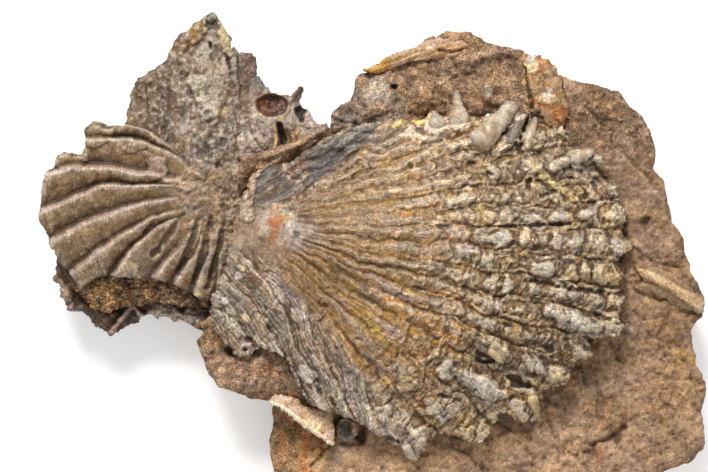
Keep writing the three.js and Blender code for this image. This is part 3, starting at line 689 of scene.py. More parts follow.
def spine(body, path, radii, tint, blunt, layer):
    """Adds a tapered rod along a path, uneven, its far end rounded, or broken off flat where blunt is 1."""
    around = 20  # points round the rod
    path = np.array(path, dtype=float)
    lengths = np.concatenate([[0], np.cumsum(np.linalg.norm(np.diff(path, axis=0), axis=1))])
    count = max(8, int(lengths[-1] / 0.3))
    at = np.linspace(0, lengths[-1], count)
    middle = np.stack([np.interp(at, lengths, path[:, k]) for k in range(3)], axis=1)
    radius = np.interp(at, lengths, radii)
    end = np.minimum(at, (lengths[-1] - at) * (1 + 4 * blunt))
    radius = radius * np.sqrt(np.clip(1 - (1 - np.clip(end / np.maximum(radius, 0.1), 0, 1)) ** 2, 0.01, 1))
    forward = np.gradient(middle, axis=0)
    forward /= np.linalg.norm(forward, axis=1)[:, None]
    side = np.cross(forward, (0, 0, 1.0))
    side /= np.maximum(np.linalg.norm(side, axis=1), 1e-6)[:, None]
    over = np.cross(side, forward)
    angle = np.linspace(0, 2 * math.pi, around, endpoint=False)
    a, s = np.meshgrid(angle, at)
    bump = 1 + 0.16 * fractal(np.cos(a) * 1.5 + s, np.sin(a) * 1.5 + s, 1.6, 3, layer)
    reach = radius[:, None] * bump
    points = (middle[:, None] + reach[..., None] * (np.cos(a)[..., None] * side[:, None]
              + np.sin(a)[..., None] * over[:, None])).reshape(-1, 3)
    number = np.arange(count * around).reshape(count, around)
    here, there = number[:-1], number[1:]
    quads = np.stack([here, np.roll(here, -1, axis=1), np.roll(there, -1, axis=1), there], axis=-1)
    quads = quads.reshape(-1, 4)
    ends = len(points) + np.arange(2)
    caps = []
    for ring, tip, flip in ((number[0], ends[0], True), (number[-1], ends[1], False)):
        fan = np.stack([ring, np.roll(ring, -1), np.full(around, tip)], axis=1)
        caps.append(fan[:, ::-1] if flip else fan)
    points = np.concatenate([points, middle[[0, -1]]])
    stain = 0.3 * fractal(points[:, 0] * 2, points[:, 1] * 2, 1.5, 3, layer + 2)
    # The lower side is painted darker: painted shade under the rod.
    stain = stain - 0.5 * np.clip((middle[:, 2].mean() - points[:, 2]) / radius.max(), 0, 1)
    stain[-1] -= 1.2 * blunt
    stain[number[-1]] -= 0.7 * blunt
    dirt = 0.5 * ramp(0.0, 0.5, fractal(points[:, 0], points[:, 1], 2.2, 3, layer + 4))[:, None]
    colours = (PALETTE[tint] * (1 - dirt) + PALETTE["ochre"] * dirt) * np.exp(stain - 0.12)[:, None]
    body.add(points, [quads, *caps], colours, 0.8, 0.0)


# ---- Materials ----
def weathered(name, grain_size, grain_depth, speckle, streak, dull, bright, seed):
    """A material from the painted tint, broken up by specks, and by streaks that follow the flow.

    speckle and streak are how strongly they show. dull and bright are the roughness of dirty and of worn
    places.
    """
    material = bpy.data.materials.new(name)
    material.use_nodes = True
    tree = material.node_tree
    tree.nodes.clear()

    def node(kind, **settings):
        made = tree.nodes.new(kind)
        for key, value in settings.items():
            setattr(made, key, value)
        return made

    def combine(operation, first, second):
        made = node("ShaderNodeMath", operation=operation)
        for socket, value in zip(made.inputs, (first, second)):
            if isinstance(value, (int, float)):
                socket.default_value = value
            else:
                tree.links.new(value, socket)
        return made.outputs[0]

    def times(product, *others):
        for other in others:
            product = combine("MULTIPLY", product, other)
        return product

    def plus(first, second):
        return combine("ADD", first, second)

    def ranged(value, low, high, to_low, to_high):
        made = node("ShaderNodeMapRange", clamp=True)
        tree.links.new(value, made.inputs["Value"])
        numbers = {"From Min": low, "From Max": high, "To Min": to_low, "To Max": to_high}
        for socket, number in numbers.items():
            made.inputs[socket].default_value = number
        return made.outputs["Result"]

    def around_one(value, amount):
        return ranged(value, 0.3, 0.7, 1 - amount, 1 + amount)

    def placed(source, *scale):
        made = node("ShaderNodeMapping")
        tree.links.new(source, made.inputs["Vector"])
        made.inputs["Location"].default_value = (seed, 0.7 * seed, 0.3 * seed)
        made.inputs["Scale"].default_value = scale
        return made.outputs["Vector"]

    def scatter(vector, size, detail):
        texture = node("ShaderNodeTexNoise", noise_dimensions="3D")
        texture.inputs["Scale"].default_value = 1 / size
        texture.inputs["Detail"].default_value = detail
        texture.inputs["Roughness"].default_value = 0.6
        tree.links.new(vector, texture.inputs["Vector"])
        return texture.outputs["Fac"]

    def value_of(name, output="Fac"):
        return node("ShaderNodeAttribute", attribute_name=name).outputs[output]

    place = placed(node("ShaderNodeTexCoord").outputs["Object"], 1 / MM, 1 / MM, 1 / MM)
    flow = placed(value_of("flow", "Vector"), 1, 1, 0)
    athwart = placed(value_of("flow", "Vector"), 0, 0.25, 1)
    grain = value_of("grain")

    fine = scatter(place, grain_size, 2.0)
    finer = scatter(place, grain_size * 0.5, 1.0)
    broad = scatter(place, grain_size * 5, 4.0)
    hairs = scatter(flow, 0.42, 2.0)
    bands = scatter(athwart, 0.5, 2.0)
    lines = combine("ABSOLUTE", plus(scatter(flow, 1.1, 3.0), -0.5), 0)
    gaps = combine("ABSOLUTE", plus(scatter(flow, 1.6, 3.0), -0.47), 0)

    # Specks and pores, stronger where the grain is coarse.
    pores = ranged(scatter(place, grain_size * 0.8, 1.0), 0.32, 0.42, 1 - 1.3 * speckle, 1.0)
    specks = times(around_one(fine, speckle), around_one(finer, 0.8 * speckle), pores)
    specks = times(plus(specks, -1.0), ranged(grain, 0, 1, 0.5, 1.3))
    # Hairs, pale lines, dark gaps and bands along the flow, and small painted glints: tiny highlights put
    # into the colour.
    pale_lines = ranged(lines, 0.0, 0.025, 1 + 1.5 * streak, 1.0)
    dark_gaps = ranged(gaps, 0.0, 0.025, 1 - 1.7 * streak, 1.0)
    painted_glints = ranged(scatter(place, grain_size * 0.9, 0.0), 0.66, 0.74, 1.0, 1 + 1.2 * speckle)
    streaks = times(around_one(hairs, streak), pale_lines, dark_gaps, around_one(bands, 0.7 * streak), painted_glints)
    streaks = times(plus(streaks, -1.0), ranged(grain, 0, 0.35, 0.4, 1.0))
    factor = times(plus(specks, 1.0), plus(streaks, 1.0), around_one(broad, 0.12))
    coloured = node("ShaderNodeVectorMath", operation="SCALE")
    tree.links.new(value_of("tint", "Color"), coloured.inputs[0])
    tree.links.new(factor, coloured.inputs["Scale"])

    heights = times(plus(fine, times(finer, 0.5)), ranged(grain, 0, 1, 0.4, 1.3))
    heights = plus(heights, times(plus(hairs, bands), 2.0 * streak))
    heights = plus(heights, times(broad, 0.8))
    bump = node("ShaderNodeBump")
    bump.inputs["Strength"].default_value = 1.0
    bump.inputs["Distance"].default_value = grain_depth * MM
    tree.links.new(heights, bump.inputs["Height"])

    shader = node("ShaderNodeBsdfPrincipled")
    tree.links.new(coloured.outputs[0], shader.inputs["Base Color"])
    roughness = plus(ranged(value_of("wear"), 0, 1, dull, bright), ranged(fine, 0.3, 0.7, -0.1, 0.1))
    tree.links.new(roughness, shader.inputs["Roughness"])
    shader.inputs["Specular IOR Level"].default_value = 0.5
    tree.links.new(bump.outputs[0], shader.inputs["Normal"])
    output = node("ShaderNodeOutputMaterial")
    tree.links.new(shader.outputs[0], output.inputs["Surface"])
    return material


# Grain size and depth, specks, streaks, roughness where dirty and where rubbed, seed.
LIMESTONE = weathered("limestone_rough", 0.5, 0.4, 0.40, 0.0, 0.9, 0.6, 1.0)
FILE_SHELL = weathered("file_shell_worn", 0.45, 0.16, 0.30, 0.36, 0.62, 0.2, 2.0)
OYSTER_SHELL = weathered("oyster_shell_worn", 0.45, 0.13, 0.27, 0.2, 0.6, 0.22, 3.0)
SEDIMENT = weathered("sediment_grains", 0.6, 0.5, 0.6, 0.0, 0.95, 0.7, 4.0)
PALE_SHELL = weathered("pale_shell_worn", 0.45, 0.13, 0.26, 0.24, 0.7, 0.28, 5.0)
RUST_SHELL = weathered("rust_shell_crust", 0.55, 0.24, 0.30, 0.1, 0.85, 0.4, 6.0)


# ---- The ribbed file shell ----
def rib_phase(distance, degrees):
    """How near each point is to a rib's crest (1 on it, 0 in a groove), and the nearest rib's number."""
    outwards = np.clip((distance - 35) / 50, 0, 1)
    crests = [inner + (outer - inner) * outwards for inner, outer in RIBS]
    crest, number = np.zeros(distance.shape), np.zeros(distance.shape)
    for k, (upper, lower) in enumerate(zip(crests, crests[1:])):
        between = (degrees <= upper) & (degrees > lower)
        share = (upper - degrees) / (upper - lower)
        crest = np.where(between, np.abs(1 - 2 * share), crest)
        number = np.where(between, np.where(share < 0.5, k, k + 1), number)
    above = degrees > crests[0]
    crest = np.where(above, np.clip(1 - (degrees - crests[0]) / 3, 0, 1), crest)
    beneath = degrees <= crests[-1]
    crest = np.where(beneath, np.clip(1 - (crests[-1] - degrees) / 4, 0, 1), crest)
    number = np.where(beneath, len(RIBS) - 1, number)
    return crest, number


# Worn knobs and scales on the ribs: place, length, width, turn in degrees, height, colour.
KNOBS = [
    (47, 10, 6, 2.6, 10, 1, "white"), (53.2, 10.4, 4.6, 3, 10, 1.1, "white"),
    (61.8, 10.2, 6.6, 4.4, 20, 1.2, "cream"), (40, 9.4, 6, 2.2, 9, 0.6, "pale"),
    (32.4, 4.6, 6.6, 4.8, 0, 1.1, "white"), (38.2, 4.6, 3, 5.2, 0, 1, "cream"),
    (42.4, 4.4, 3.2, 5, 0, 0.9, "pale"), (46.4, 4, 2.4, 4.6, 0, 0.8, "pale"),
    (51.2, 3, 3.2, 5.6, -4, 0.8, "grey"), (57, 3, 3, 5, -4, 0.8, "cream"),
    (64, 2.6, 3.2, 4.6, -20, 0.8, "cream"), (42.9, -3.1, 7.4, 4, -8, 1.4, "white"),
    (49.8, -4.3, 3.6, 5.2, -6, 1.1, "butter"), (53.4, -4.6, 3.2, 5.4, -6, 1.1, "butter"),
    (57.4, -4.8, 4.4, 5.6, -6, 1.1, "butter"), (60.4, -5.4, 3, 4.4, -6, 0.8, "butter"),
    (33.9, -7.4, 3, 5, -10, 0.9, "white"), (51, -10.4, 3.4, 4, -10, 0.6, "grey"),
    (57, -11.8, 3, 4.8, -10, 0.8, "grey"), (61.8, -11.6, 3, 4.6, -10, 0.8, "grey"),
    (49.8, -15.9, 14.5, 5.6, -19, 1.7, "white"), (60.9, -17, 8, 8, -35, 2, "cream"),
    (30.4, -21.6, 9, 3.6, -38, 1, "cream"), (41.2, -27.4, 6, 3.4, -28, 1.2, "white"),
    (46, -29.6, 6, 4.6, -32, 1, "cream"), (51.5, -24, 5, 4, -30, 0.8, "pale"),
    (18.4, -27.9, 4.8, 5.2, -30, 1.3, "white"), (27.6, -32.2, 14, 5, -27, 1.5, "white"),
    (24, -44.6, 4.4, 6, -45, 1.2, "butter"), (28.4, -44, 4, 5.4, -45, 1.3, "cream"),
    (15.8, -37.8, 6, 4.4, -40, 1, "pale"), (8.6, -31.6, 4, 6.4, -50, 0.8, "butter"),
    (36.6, -37.6, 6, 4, -50, 0.9, "pale"), (12.6, -44.2, 5, 4.4, -50, 0.9, "pale"),
    (2.8, -39, 4.4, 4, -55, 0.8, "pale"), (20.6, -38, 5, 4, -40, 0.7, "olive"),
    (5.6, 16.6, 4, 2.2, 10, 0.5, "cream"), (23.6, 2, 7, 3.2, -4, 0.6, "lilac"),
    (16, -2.4, 6, 2.8, -12, 0.5, "grey"), (22, 14, 8, 3, 18, 0.6, "pale"),
    (-18, -15, 3.4, 4.4, 60, 0.9, "pale"), (-14.5, -15.6, 2.6, 4, 70, 0.6, "pink"),
    (-11.5, -17, 3, 4, 70, 0.7, "grey"), (-16.2, -29.6, 3.6, 5.2, 60, 1.3, "white"),
    (-22, -26, 5.6, 3.2, -35, 0.8, "cream"), (-17.2, -35.2, 2, 1.8, 0, 0.5, "white"),
    (-33, -5, 2.6, 2, -40, 0.5, "white"), (-32.2, -3, 2.4, 1.6, -40, 0.4, "cream"),
    (-31.5, -15.5, 3.4, 1.8, -40, 0.4, "cream"), (-36.5, -11.2, 2.6, 2, -60, 0.5, "white"),
    (-27, -15.8, 3.4, 2, -30, 0.5, "cream"), (28, 29.6, 9, 6.4, 42, 0.9, "pale"),
    (22.2, 32.6, 7, 4, 0, 0.7, "pale"), (16.4, 31.8, 6, 3.6, 0, 0.6, "lilac"),
]
# Hollows, sunk and darkened with painted shade: place, length, width, turn, depth.
HOLLOWS = [
    (37, 27.3, 2.6, 3.4, 10, 1.4), (38.7, 33.4, 1.6, 10.5, -18, 2.2), (39.3, 18, 1.8, 3.6, 0, 1.2),
    (28.5, -25.5, 6.5, 3.6, -30, 2), (36.6, -31.4, 7.5, 3.4, -28, 1.8), (34.4, -42.2, 7.5, 4.2, -50, 1.8),
    (56.4, -22.3, 7, 2.2, -28, 1.4), (42, -6.4, 9, 1.6, -6, 0.8), (53, -8.4, 15, 1.8, -7, 1),
    (38, 7.6, 26, 1.2, 2, 0.8), (64.3, 5.4, 1.2, 1.2, 0, 1.4), (44.2, -22.8, 5, 3, -30, 1),
    (29.6, 20.6, 3, 1.4, -20, 0.6), (9.6, 22.4, 2.6, 1.8, 30, 0.7), (24.8, 23.2, 2.4, 1.2, 10, 0.6),
    (-11.5, -12.5, 1.8, 4, 60, 0.6), (11.5, -7.8, 4, 1.2, -20, 0.4), (-30.6, -20.8, 5.6, 2.6, -20, 0.9),
    (-13.2, -33, 5, 1.4, -60, 0.7), (-9.4, -36.5, 5.5, 1.6, -50, 0.8), (4.8, -45.6, 5, 1.6, -20, 0.8),
    (18.6, -47.6, 6, 1.6, -8, 0.8), (62.5, -9.2, 3, 2, 0, 0.8), (46.6, 8, 6, 1.2, 5, 0.6),
    (17.5, -34.6, 4, 1.4, -20, 0.6), (33.6, -17, 5, 1.3, -20, 0.5), (44, 15.6, 5, 1.5, 20, 0.6),
]
# Ledge plates at the margin: line along the plate, width, height, colour.
PLATES = [
    ([(48, 31.4), (52, 28.6), (56.5, 24.6)], 2.9, 1.2, "pale"),
    ([(45.4, 22.2), (49, 24.2), (53.4, 25.8)], 3.4, 1.6, "pale"),
    ([(57.6, 22.4), (61.4, 18.6), (64.2, 14.2)], 2.6, 1.1, "cream"),
    ([(50, 20.6), (54, 17.4), (57, 13.2)], 2.2, 0.9, "tan"),
    ([(39, 23.6), (45, 18.2), (50.6, 14.6)], 2.2, 0.8, "butter"),
]
# Stains: place, length, width, turn, colour, strength.
STAINS = [
    (-30, 6, 8, 10, 0, "pale", 0.25), (-27.2, 11.2, 8, 3.2, 0, "olive", 0.6),
    (-24.2, 7.4, 3, 9.6, 8, "orange", 0.5), (-22, 9.6, 5, 2.4, 0, "gold", 0.7),
    (-23.6, 8.8, 4.8, 3.2, 0, "orange", 0.8), (-20.4, 4.6, 10, 6.4, -20, "white", 0.35),
    (-17.8, 11.2, 1.8, 1.5, 0, "redbrown", 0.9), (-15.2, 11.2, 1.8, 1.5, 0, "redbrown", 0.9),
    (-21.6, 7.6, 1.3, 1, 0, "redbrown", 0.8), (-25.6, 6.4, 1.1, 0.9, 0, "umber", 0.7),
    (-12, 15.5, 13, 8, 20, "pale", 0.3), (-17.8, 22.8, 5, 3.4, 20, "redbrown", 0.7),
    (-13, -1.5, 10, 3.4, -24, "orange", 0.5), (-10.4, 2.6, 7, 2.6, -12, "sand", 0.6),
    (-7, 0, 8, 2.8, -14, "orange", 0.5), (-1, -3.8, 9, 3.4, -20, "gold", 0.7),
    (4.5, -7.4, 22, 1.7, -30, "lilac", 0.7), (-3, 5, 14, 1.4, -6, "lilac", 0.6),
    (1, -18.5, 9, 5, -35, "butter", 0.4), (14.8, -16, 7, 4, -25, "ochre", 0.6),
    (-16, 9.6, 6, 3, -10, "redbrown", 0.8), (-12, 7, 6, 3, -10, "redbrown", 0.8),
    (-18.5, 5.6, 3, 1.4, -10, "dark", 0.8), (-9, 5.6, 3.6, 1.2, -8, "dark", 0.4),
    (-27, 8, 1.4, 1.8, 0, "slate", 0.7), (-27.4, 4.4, 2.2, 0.9, -40, "dark", 0.6),
    (-8.2, -3.4, 7.5, 4.4, -12, "umber", 0.9), (-1, -9.4, 7, 3.6, -25, "umber", 0.8),
    (-12.4, -12.6, 2, 4.8, 20, "redbrown", 0.9), (-3, 0.6, 8, 2.2, -10, "orange", 0.6),
    (-0.6, -24.6, 3, 2.2, 40, "slate", 0.8), (-5.2, -22, 2.6, 3.4, 30, "orange", 0.8),
    (61.2, -14.6, 2, 3.4, -10, "orange", 0.8), (52, -4, 3, 3, 0, "gold", 0.5),
    (10.5, 20, 4, 1.6, 20, "orange", 0.6), (15, 12.6, 4.5, 1.6, 10, "orange", 0.8),
    (58.6, 14.4, 7, 2.6, 20, "redbrown", 0.9), (53, 28, 8, 2.4, -36, "redbrown", 0.7),
    (9, 10.6, 5.5, 1.8, 10, "gold", 0.9), (-29, -6, 6, 3.4, -30, "brown", 0.9),
    (-20.5, -14, 4, 6, 20, "brown", 0.6), (30.4, 27.4, 4, 2, 30, "gold", 0.9),
    (-30, -12, 4, 3.6, 0, "rust", 0.5), (-28.2, -5.6, 6, 5, -20, "rust", 0.6),
    (35.4, 27.6, 2.6, 3.2, 0, "slate", 0.9), (6, -19, 9, 3, -30, "lilac", 0.6),
    (2, -29.5, 3.5, 3, 0, "slate", 0.6), (-6, -28, 8, 3.4, -45, "grey", 0.8),
    (0.6, -33.2, 4.2, 2.6, 0, "cream", 0.8), (45, -21.4, 3, 3.6, 20, "umber", 0.8),
]
# Spines and scale tips: path, height of its middle over the shell, radii along it, colour.
SPINES = [
    ([(25.6, 27.2), (29.6, 31.2), (35.6, 37.8)], 0.6, (3.2, 2.7, 1.9), "pale"),
    ([(34.4, 28), (36.2, 32.2), (38, 36)], 0.3, (0.9, 1.1, 0.5), "grey"),
    ([(38.8, 26.4), (39.8, 30.6), (41.2, 34.6)], 0.3, (1, 1.3, 0.6), "pale"),
    ([(40.2, -35), (41.2, -38.6), (42.3, -41.9)], 0.3, (1.5, 1.1, 0.45), "cream"),
    ([(8.6, -47.2), (9.8, -49.6), (11.8, -51.2)], 0.2, (1.3, 1.2, 0.7), "pale"),
    ([(22, 32.4), (21.5, 36.6), (21.3, 41.6)], -0.3, (3.1, 1.8, 0.45), "pale"),
    ([(16.4, 31.6), (16.1, 34), (15.7, 36.2)], -0.3, (2.8, 1.6, 0.4), "pale"),
    ([(50.5, 23.6), (53, 25.2), (55.4, 26.2)], 0.4, (1.5, 1.4, 0.9), "pale"),
    ([(29.4, -23.2), (31.6, -25.4), (33, -26.6)], 0.3, (1.3, 0.9, 0.4), "cream"),
    ([(46.2, -29), (48, -31)], 0.1, (1.3, 0.7), "cream"),
]


def ribbed_valve():
    s = Relief("ribbed_valve", 0.29, 4.2, ragged=0.55, ragged_size=1.8)
    s.reach(0.5, "matrix_rock", "oyster_upper_valve")
    wx = s.x + s.fractal(9, 3, 51) + 0.3 * s.fractal(2.4, 2, 52)
    wy = s.y + s.fractal(9, 3, 53) + 0.3 * s.fractal(2.4, 2, 54)
    r, degrees = polar(BEAK, wx, wy)
    arc = np.radians(degrees) * 44
    outer = ramp(36, 72, r)
    s.inside += (s.blurred(s.clean_inside, 1.5) - s.clean_inside) * ramp(62, 78, r)
    # Where each kind of surface lies.
    fan = ramp(-57, -51, degrees) * (1 - ramp(25, 33, degrees)) * ramp(9, 17, r)
    flank = (1 - ramp(-56, -50, degrees)) * ramp(4, 8, r)
    upper = ramp(19, 29, degrees) * ramp(16, 24, r)
    umbo = s.area(
        [(-34, 0), (-35, 9), (-30, 12), (-20, 12.5), (-13, 9), (-12, 4), (-18, 0), (-27, -1)], 2.0
    )
    ear = s.area(
        [(-32, 12), (-29, 22), (-17, 25), (-7, 31.5), (1, 33), (-3, 26), (-12, 19), (-17, 13.5)], 1.2
    )
    patch = s.patches(7, 5, 90, 4)
    streak = [fractal(r * 0.13, arc * 0.62, 1.3, 5, 80 + k) for k in range(5)]
    s.paint(1, "tan")
    ribbed_fan(s, (fan, upper, umbo, outer), (wx, wy, r, degrees, arc), patch, streak)
    upper_fan(s, upper, wx, wy)
    laminated_flank(s, flank, patch)
    s.paint(0.9 * umbo, "stone")
    s.coats(
        umbo, (0.8, -0.1, 0.3, patch[3], "pale"), (0.5, 0.1, 0.4, patch[1], "grey"),
        (0.3, 0.25, 0.5, streak[2], "ochre"), (0.6, 0.3, 0.5, -streak[3], "brown"),
    )
    banded_ear(s, ear, patch)
    gritty = grit_at_beak(s)
    lit, sunk = marks_on_shell(s)
    # Grain of the worn surface, and the curl of the margin down to the rock.
    coarse = 0.5 + 0.4 * outer + 0.2 * flank - 0.55 * umbo
    craggy = np.abs(s.fractal(2.0, 3, 68))
    s.z += coarse * (0.34 * s.fractal(2.6, 4, 69) - 0.22 * craggy)
    s.z += coarse * 0.16 * s.fractal(0.8, 2, 72)
    s.round_edge(1.2 + 1.2 * outer, 1.1)
    # Low places are darkened, by sediment in the grooves and by painted shade, and high places get a painted
    # highlight in pale and cream.
    near = s.above(0.7)
    wide = s.above(2.6)
    s.coats(
        1, (0.7, 0.03, 0.22, -near, "umber"), (0.5, 0.15, 0.6, -near, "dark"),
        (0.3, 0.3, 1.3, -wide, "brown"),
    )
    painted_highlight = 0.5 * ramp(0.05, 0.25, near) * (1 - umbo) * (1 - 0.7 * ear)
    s.paint(painted_highlight, "pale")
    s.paint(0.6 * painted_highlight * fan, "cream")
    s.paint(0.3 * ramp(0.4, 1.4, wide), "pale")
    s.shade(0.22 * s.noise(0.62, 99) + 0.18 * s.noise(1.5, 100))
    s.shade(0.22 * (umbo + gritty) * s.noise(0.5, 101))
    s.paint(0.45 * fan * (1 - umbo) * ramp(48, 24, r), "ochre")
    s.shade(0.07 * fan * ramp(48, 24, r))
    s.shade(-0.13 * fan * (1 - upper) - 0.2 * fan * ramp(46, 26, r) * (1 - umbo) - 0.2 * umbo
            - ear * (0.1 + 0.15 * ramp(-20, -12, s.x)))
    s.shade(0.24 * s.spot(22, 27.5, 36, 14, 4) + 0.4 * upper * ramp(2, 14, s.x) + 0.16 * ramp(-32, -40, s.y))
    s.wear = 0.55 + 0.9 * near + 0.2 * wide
    s.grain = 0.6 - 0.6 * umbo - 0.4 * lit + 0.3 * sunk - 0.5 * near + 0.4 * gritty
    body = Body()
    carve(body, s, FLOORS[s.node], rows=7, inset=0.4, rough=0.5, rough_size=1.6, wall_tint="umber")
    for layer, (path, lift, radii, colour) in enumerate(SPINES, 43):
        points = [(x, y, height_at(s, x, y) + lift) for x, y in path]
        spine(body, points, radii, colour, blunt=float(radii[-1] > 1.5), layer=layer)
    body.finish("ribbed_valve_worn", "file_shell", FILE_SHELL, s.node)


def ribbed_fan(s, zones, places, patch, streak):
    """The fan: golden towards the front, grey-cream in the middle, brown and white blocks at the margin."""
    fan, upper, umbo, outer = zones
    wx, wy, r, degrees, arc = places
    crest, rib = rib_phase(r, degrees)
    # Ribs: low wrinkles near the beak, bold blocky ribs towards the margin.
    height = (0.62 + 1.03 * outer) * (1 + 0.45 * fractal(wx, wy, 9, 3, 74))
    block = (r + 1.2 * crest + 2.1 * np.sin(rib * 2.4)) / (3.3 + 0.5 * np.sin(rib * 1.3))
    block_number = TABLE[(rib * 13).astype(int) & 255, np.floor(block).astype(int) & 255]
    block_edge = ramp(0.16, 0.02, np.abs(block - np.round(block)))
    s.z += fan * (1 - 0.7 * upper) * height * ((1 - (1 - crest) ** 1.7) - 0.55)
    s.z += fan * outer * ramp(0.2, 0.7, crest) * (0.4 * block_number - 0.25 * block_edge)
    riblet = ramp(0.42, 0.12, crest) * ramp(-0.5, 0.3, noise(r, rib * 7.3, 4.0, 55))
    s.z += fan * (0.15 + 0.75 * outer) * riblet
    wrinkle = noise(degrees * 0.55, r * 0.05, 1.0, 56) + 0.6 * noise(degrees * 1.2, r * 0.09, 1.0, 57)
    s.z += fan * (1 - 0.7 * outer) * ramp(8, 20, r) * 0.34 * wrinkle
    # Lamellae: growth steps that reach further out along the ribs.
    front = r - (0.8 + 1.4 * outer) * crest + 1.6 * fractal(wx, wy, 6, 3, 58) + 1.7 * np.sin(rib * 2.4)
    thin = (front / 2.1) % 1.0
    thick = (front / 8.6 + 0.35) % 1.0
    steps = (0.14 + 0.3 * outer) * (thin - 0.5) + (0.15 + 0.75 * outer) * (thick - 0.5)
    s.z += fan * (1 - 0.6 * umbo) * steps
    # Flakes of worn shell, long in the direction of growth.
    edge, flake = flakes(r / 3.2, arc, 1.5, 201)
    s.z += fan * (0.16 * (flake - 0.5) - 0.04 * edge) * (1 + outer)
    s.run_along(fan, r, arc)
    # Colours.
    golden = s.area(
        [(-16, 5), (0, -1), (20, -8), (31, -20), (27, -36), (20, -46), (5, -46), (-3, -36), (-9, -18)], 6, 3
    )
    s.mosaic(0.8 * fan, flake, ("tan", "ochre", "cream", "brown", "sand", "ochre", "pale", "butter"))
    again = (flake * 7.3) % 1
    s.mosaic(0.8 * fan * golden, again, ("gold", "ochre", "gold", "tan", "gold", "olive", "butter"))
    inner = fan * (1 - outer) * (1 - 0.7 * upper)
    s.coats(inner, (0.5, 0.55, 0.15, crest, "gold"), (0.45, 0.6, 0.95, crest, "pink"))
    s.paint(0.6 * fan * ramp(0.1, 0.3, streak[0]), "ochre")
    s.coats(fan * golden, (0.8, -0.05, 0.25, streak[1], "gold"), (0.5, 0.3, 0.5, streak[2], "orange"))
    s.paint(0.65 * fan * ramp(0.2, 0.4, streak[3]) * (1 - outer), "lilac")
    s.coats(fan, (0.6, 0.2, 0.4, streak[4], "pale"), (0.5, 0.25, 0.5, -streak[2], "brown"))
    s.paint(0.3 * fan * ramp(0.35, 0.0, crest) * ramp(0.1, 0.7, outer), "brown")
    s.coats(outer * fan, (0.4, -0.1, 0.3, patch[0], "brown"), (0.4, 0.05, 0.4, patch[3], "ochre"))
    top = fan * outer * ramp(0.25, 0.6, crest)
    s.coats(
        top, (0.55, 0.2, 0.35, block_number, "pale"), (0.55, 0.6, 0.75, block_number, "white"),
        (0.6, -0.35, -0.5, block_number, "brown"), (0.5, -0.7, -0.8, block_number, "olive"),
    )
    s.paint(0.3 * top * block_edge, "umber")
    s.paint(0.2 * fan * edge, "brown")
    s.paint(fan * (0.12 + 0.16 * (1 - outer)) * (1 - 0.7 * upper), "ochre")


def upper_fan(s, upper, wx, wy):
    """Wavy lamellae, nearly level with the fan's upper edge."""
    across = wy - 0.2 * wx + 0.9 * fractal(wx, wy, 7, 3, 59)
    edge, flake = flakes(wx / 5.5, across, 1.7, 205)
    s.z += upper * (0.5 * (flake - 0.5) - 0.12 * edge)
    s.z += upper * 0.6 * fractal(wx * 0.3, across * 1.2, 2.5, 3, 61)
    s.run_along(upper, wx, across)
    s.mosaic(0.8 * upper, flake, ("cream", "butter", "lilac", "tan", "ochre", "pale", "brown", "grey"))
    s.paint(0.4 * upper * edge, "brown")


def laminated_flank(s, flank, patch):
    """Laminae that sweep along the line of the last rib."""
    turn = math.radians(-50)
    along = (s.x - BEAK[0]) * math.cos(turn) + (s.y - BEAK[1]) * math.sin(turn)
    over = -(s.x - BEAK[0]) * math.sin(turn) + (s.y - BEAK[1]) * math.cos(turn)
    swing = over + 0.006 * (along - 16) ** 2 + 1.2 * s.fractal(14, 2, 62)
    swing = swing + 0.25 * s.fractal(2.4, 3, 63) + 0.55 * s.fractal(6, 2, 60)
    edge, flake = flakes(along / 3.6, swing, 2.0, 209)
    ledge = (swing / 6.1 + 0.4 * noise(along, over, 11, 64)) % 1.0
    lamina = 0.5 + 0.5 * np.sin(swing * math.tau / 0.95)
    s.z += flank * (0.45 * (flake - 0.5) - 0.12 * edge + 0.8 * (ledge - 0.5) + 0.12 * lamina)
    s.z += flank * 0.3 * s.fractal(3.6, 4, 65)
    s.run_along(flank, along, swing)
    s.mosaic(flank, flake, ("grey", "pale", "tan", "lilac", "grey", "brown", "pale", "stone"))
    s.coats(
        flank, (0.5, 0.1, 0.4, patch[0], "brown"), (0.4, 0.55, 0.95, lamina, "pale"),
        (0.45, 0.4, 0.05, lamina, "brown"),
    )
    s.paint(0.4 * flank * edge, "umber")


def banded_ear(s, ear, patch):
    """Dark slanting bands."""
    band = s.y - 0.52 * s.x + 0.9 * s.fractal(6, 3, 66)
    edge, flake = flakes(s.x / 4.5, band, 1.7, 213)
    s.z += ear * (0.6 * (flake - 0.5) - 0.12 * edge + 0.5 * fractal(s.x * 0.5, band, 2.2, 3, 67))
    s.run_along(ear, s.x, band)
    s.mosaic(ear, flake, ("slate", "grey", "grey", "brown", "slate", "umber", "grey"))
    s.shade(-0.3 * ear)
    s.paint(0.35 * ear * edge, "umber")
    s.paint(0.7 * ear * ramp(0.15, 0.4, patch[1]), "brown")


def grit_at_beak(s):
    """Grit stuck between the umbo and the ear. Gives back where it lies."""
    gritty = s.area([(-24, 10.5), (-13, 12.6), (-4, 18), (3, 22), (-2, 25), (-10, 20), (-21, 15)], 1.2)
    gritty = np.maximum(gritty, ramp(0, 0.4, s.spot(-19.5, 21.6, 8, 7, 0, 0.4)))
    collar = [(-30.6, 10.6), (-31.2, 15.6), (-30.4, 20.4), (-26.6, 23.8), (-20.6, 26.4)]
    collar = s.line(collar, 3.8, 0.4, 12)
    s.z += 0.8 * dome(collar)
    gritty = np.maximum(gritty, ramp(0, 0.4, collar))
    grains, _, grit = cells(s.x, s.y, 0.95, 14)
    s.z += gritty * 0.7 * (0.5 - grains)
    s.mosaic(0.85 * gritty, grit, ("tan", "redbrown", "sand", "pale", "pink", "pink", "pale", "umber"))
    s.paint(0.6 * s.spot(-19.6, 21.4, 6, 5, 0, 0.5), "rust")
    s.paint(0.45 * ramp(0, 0.4, collar), "sand")
    return gritty


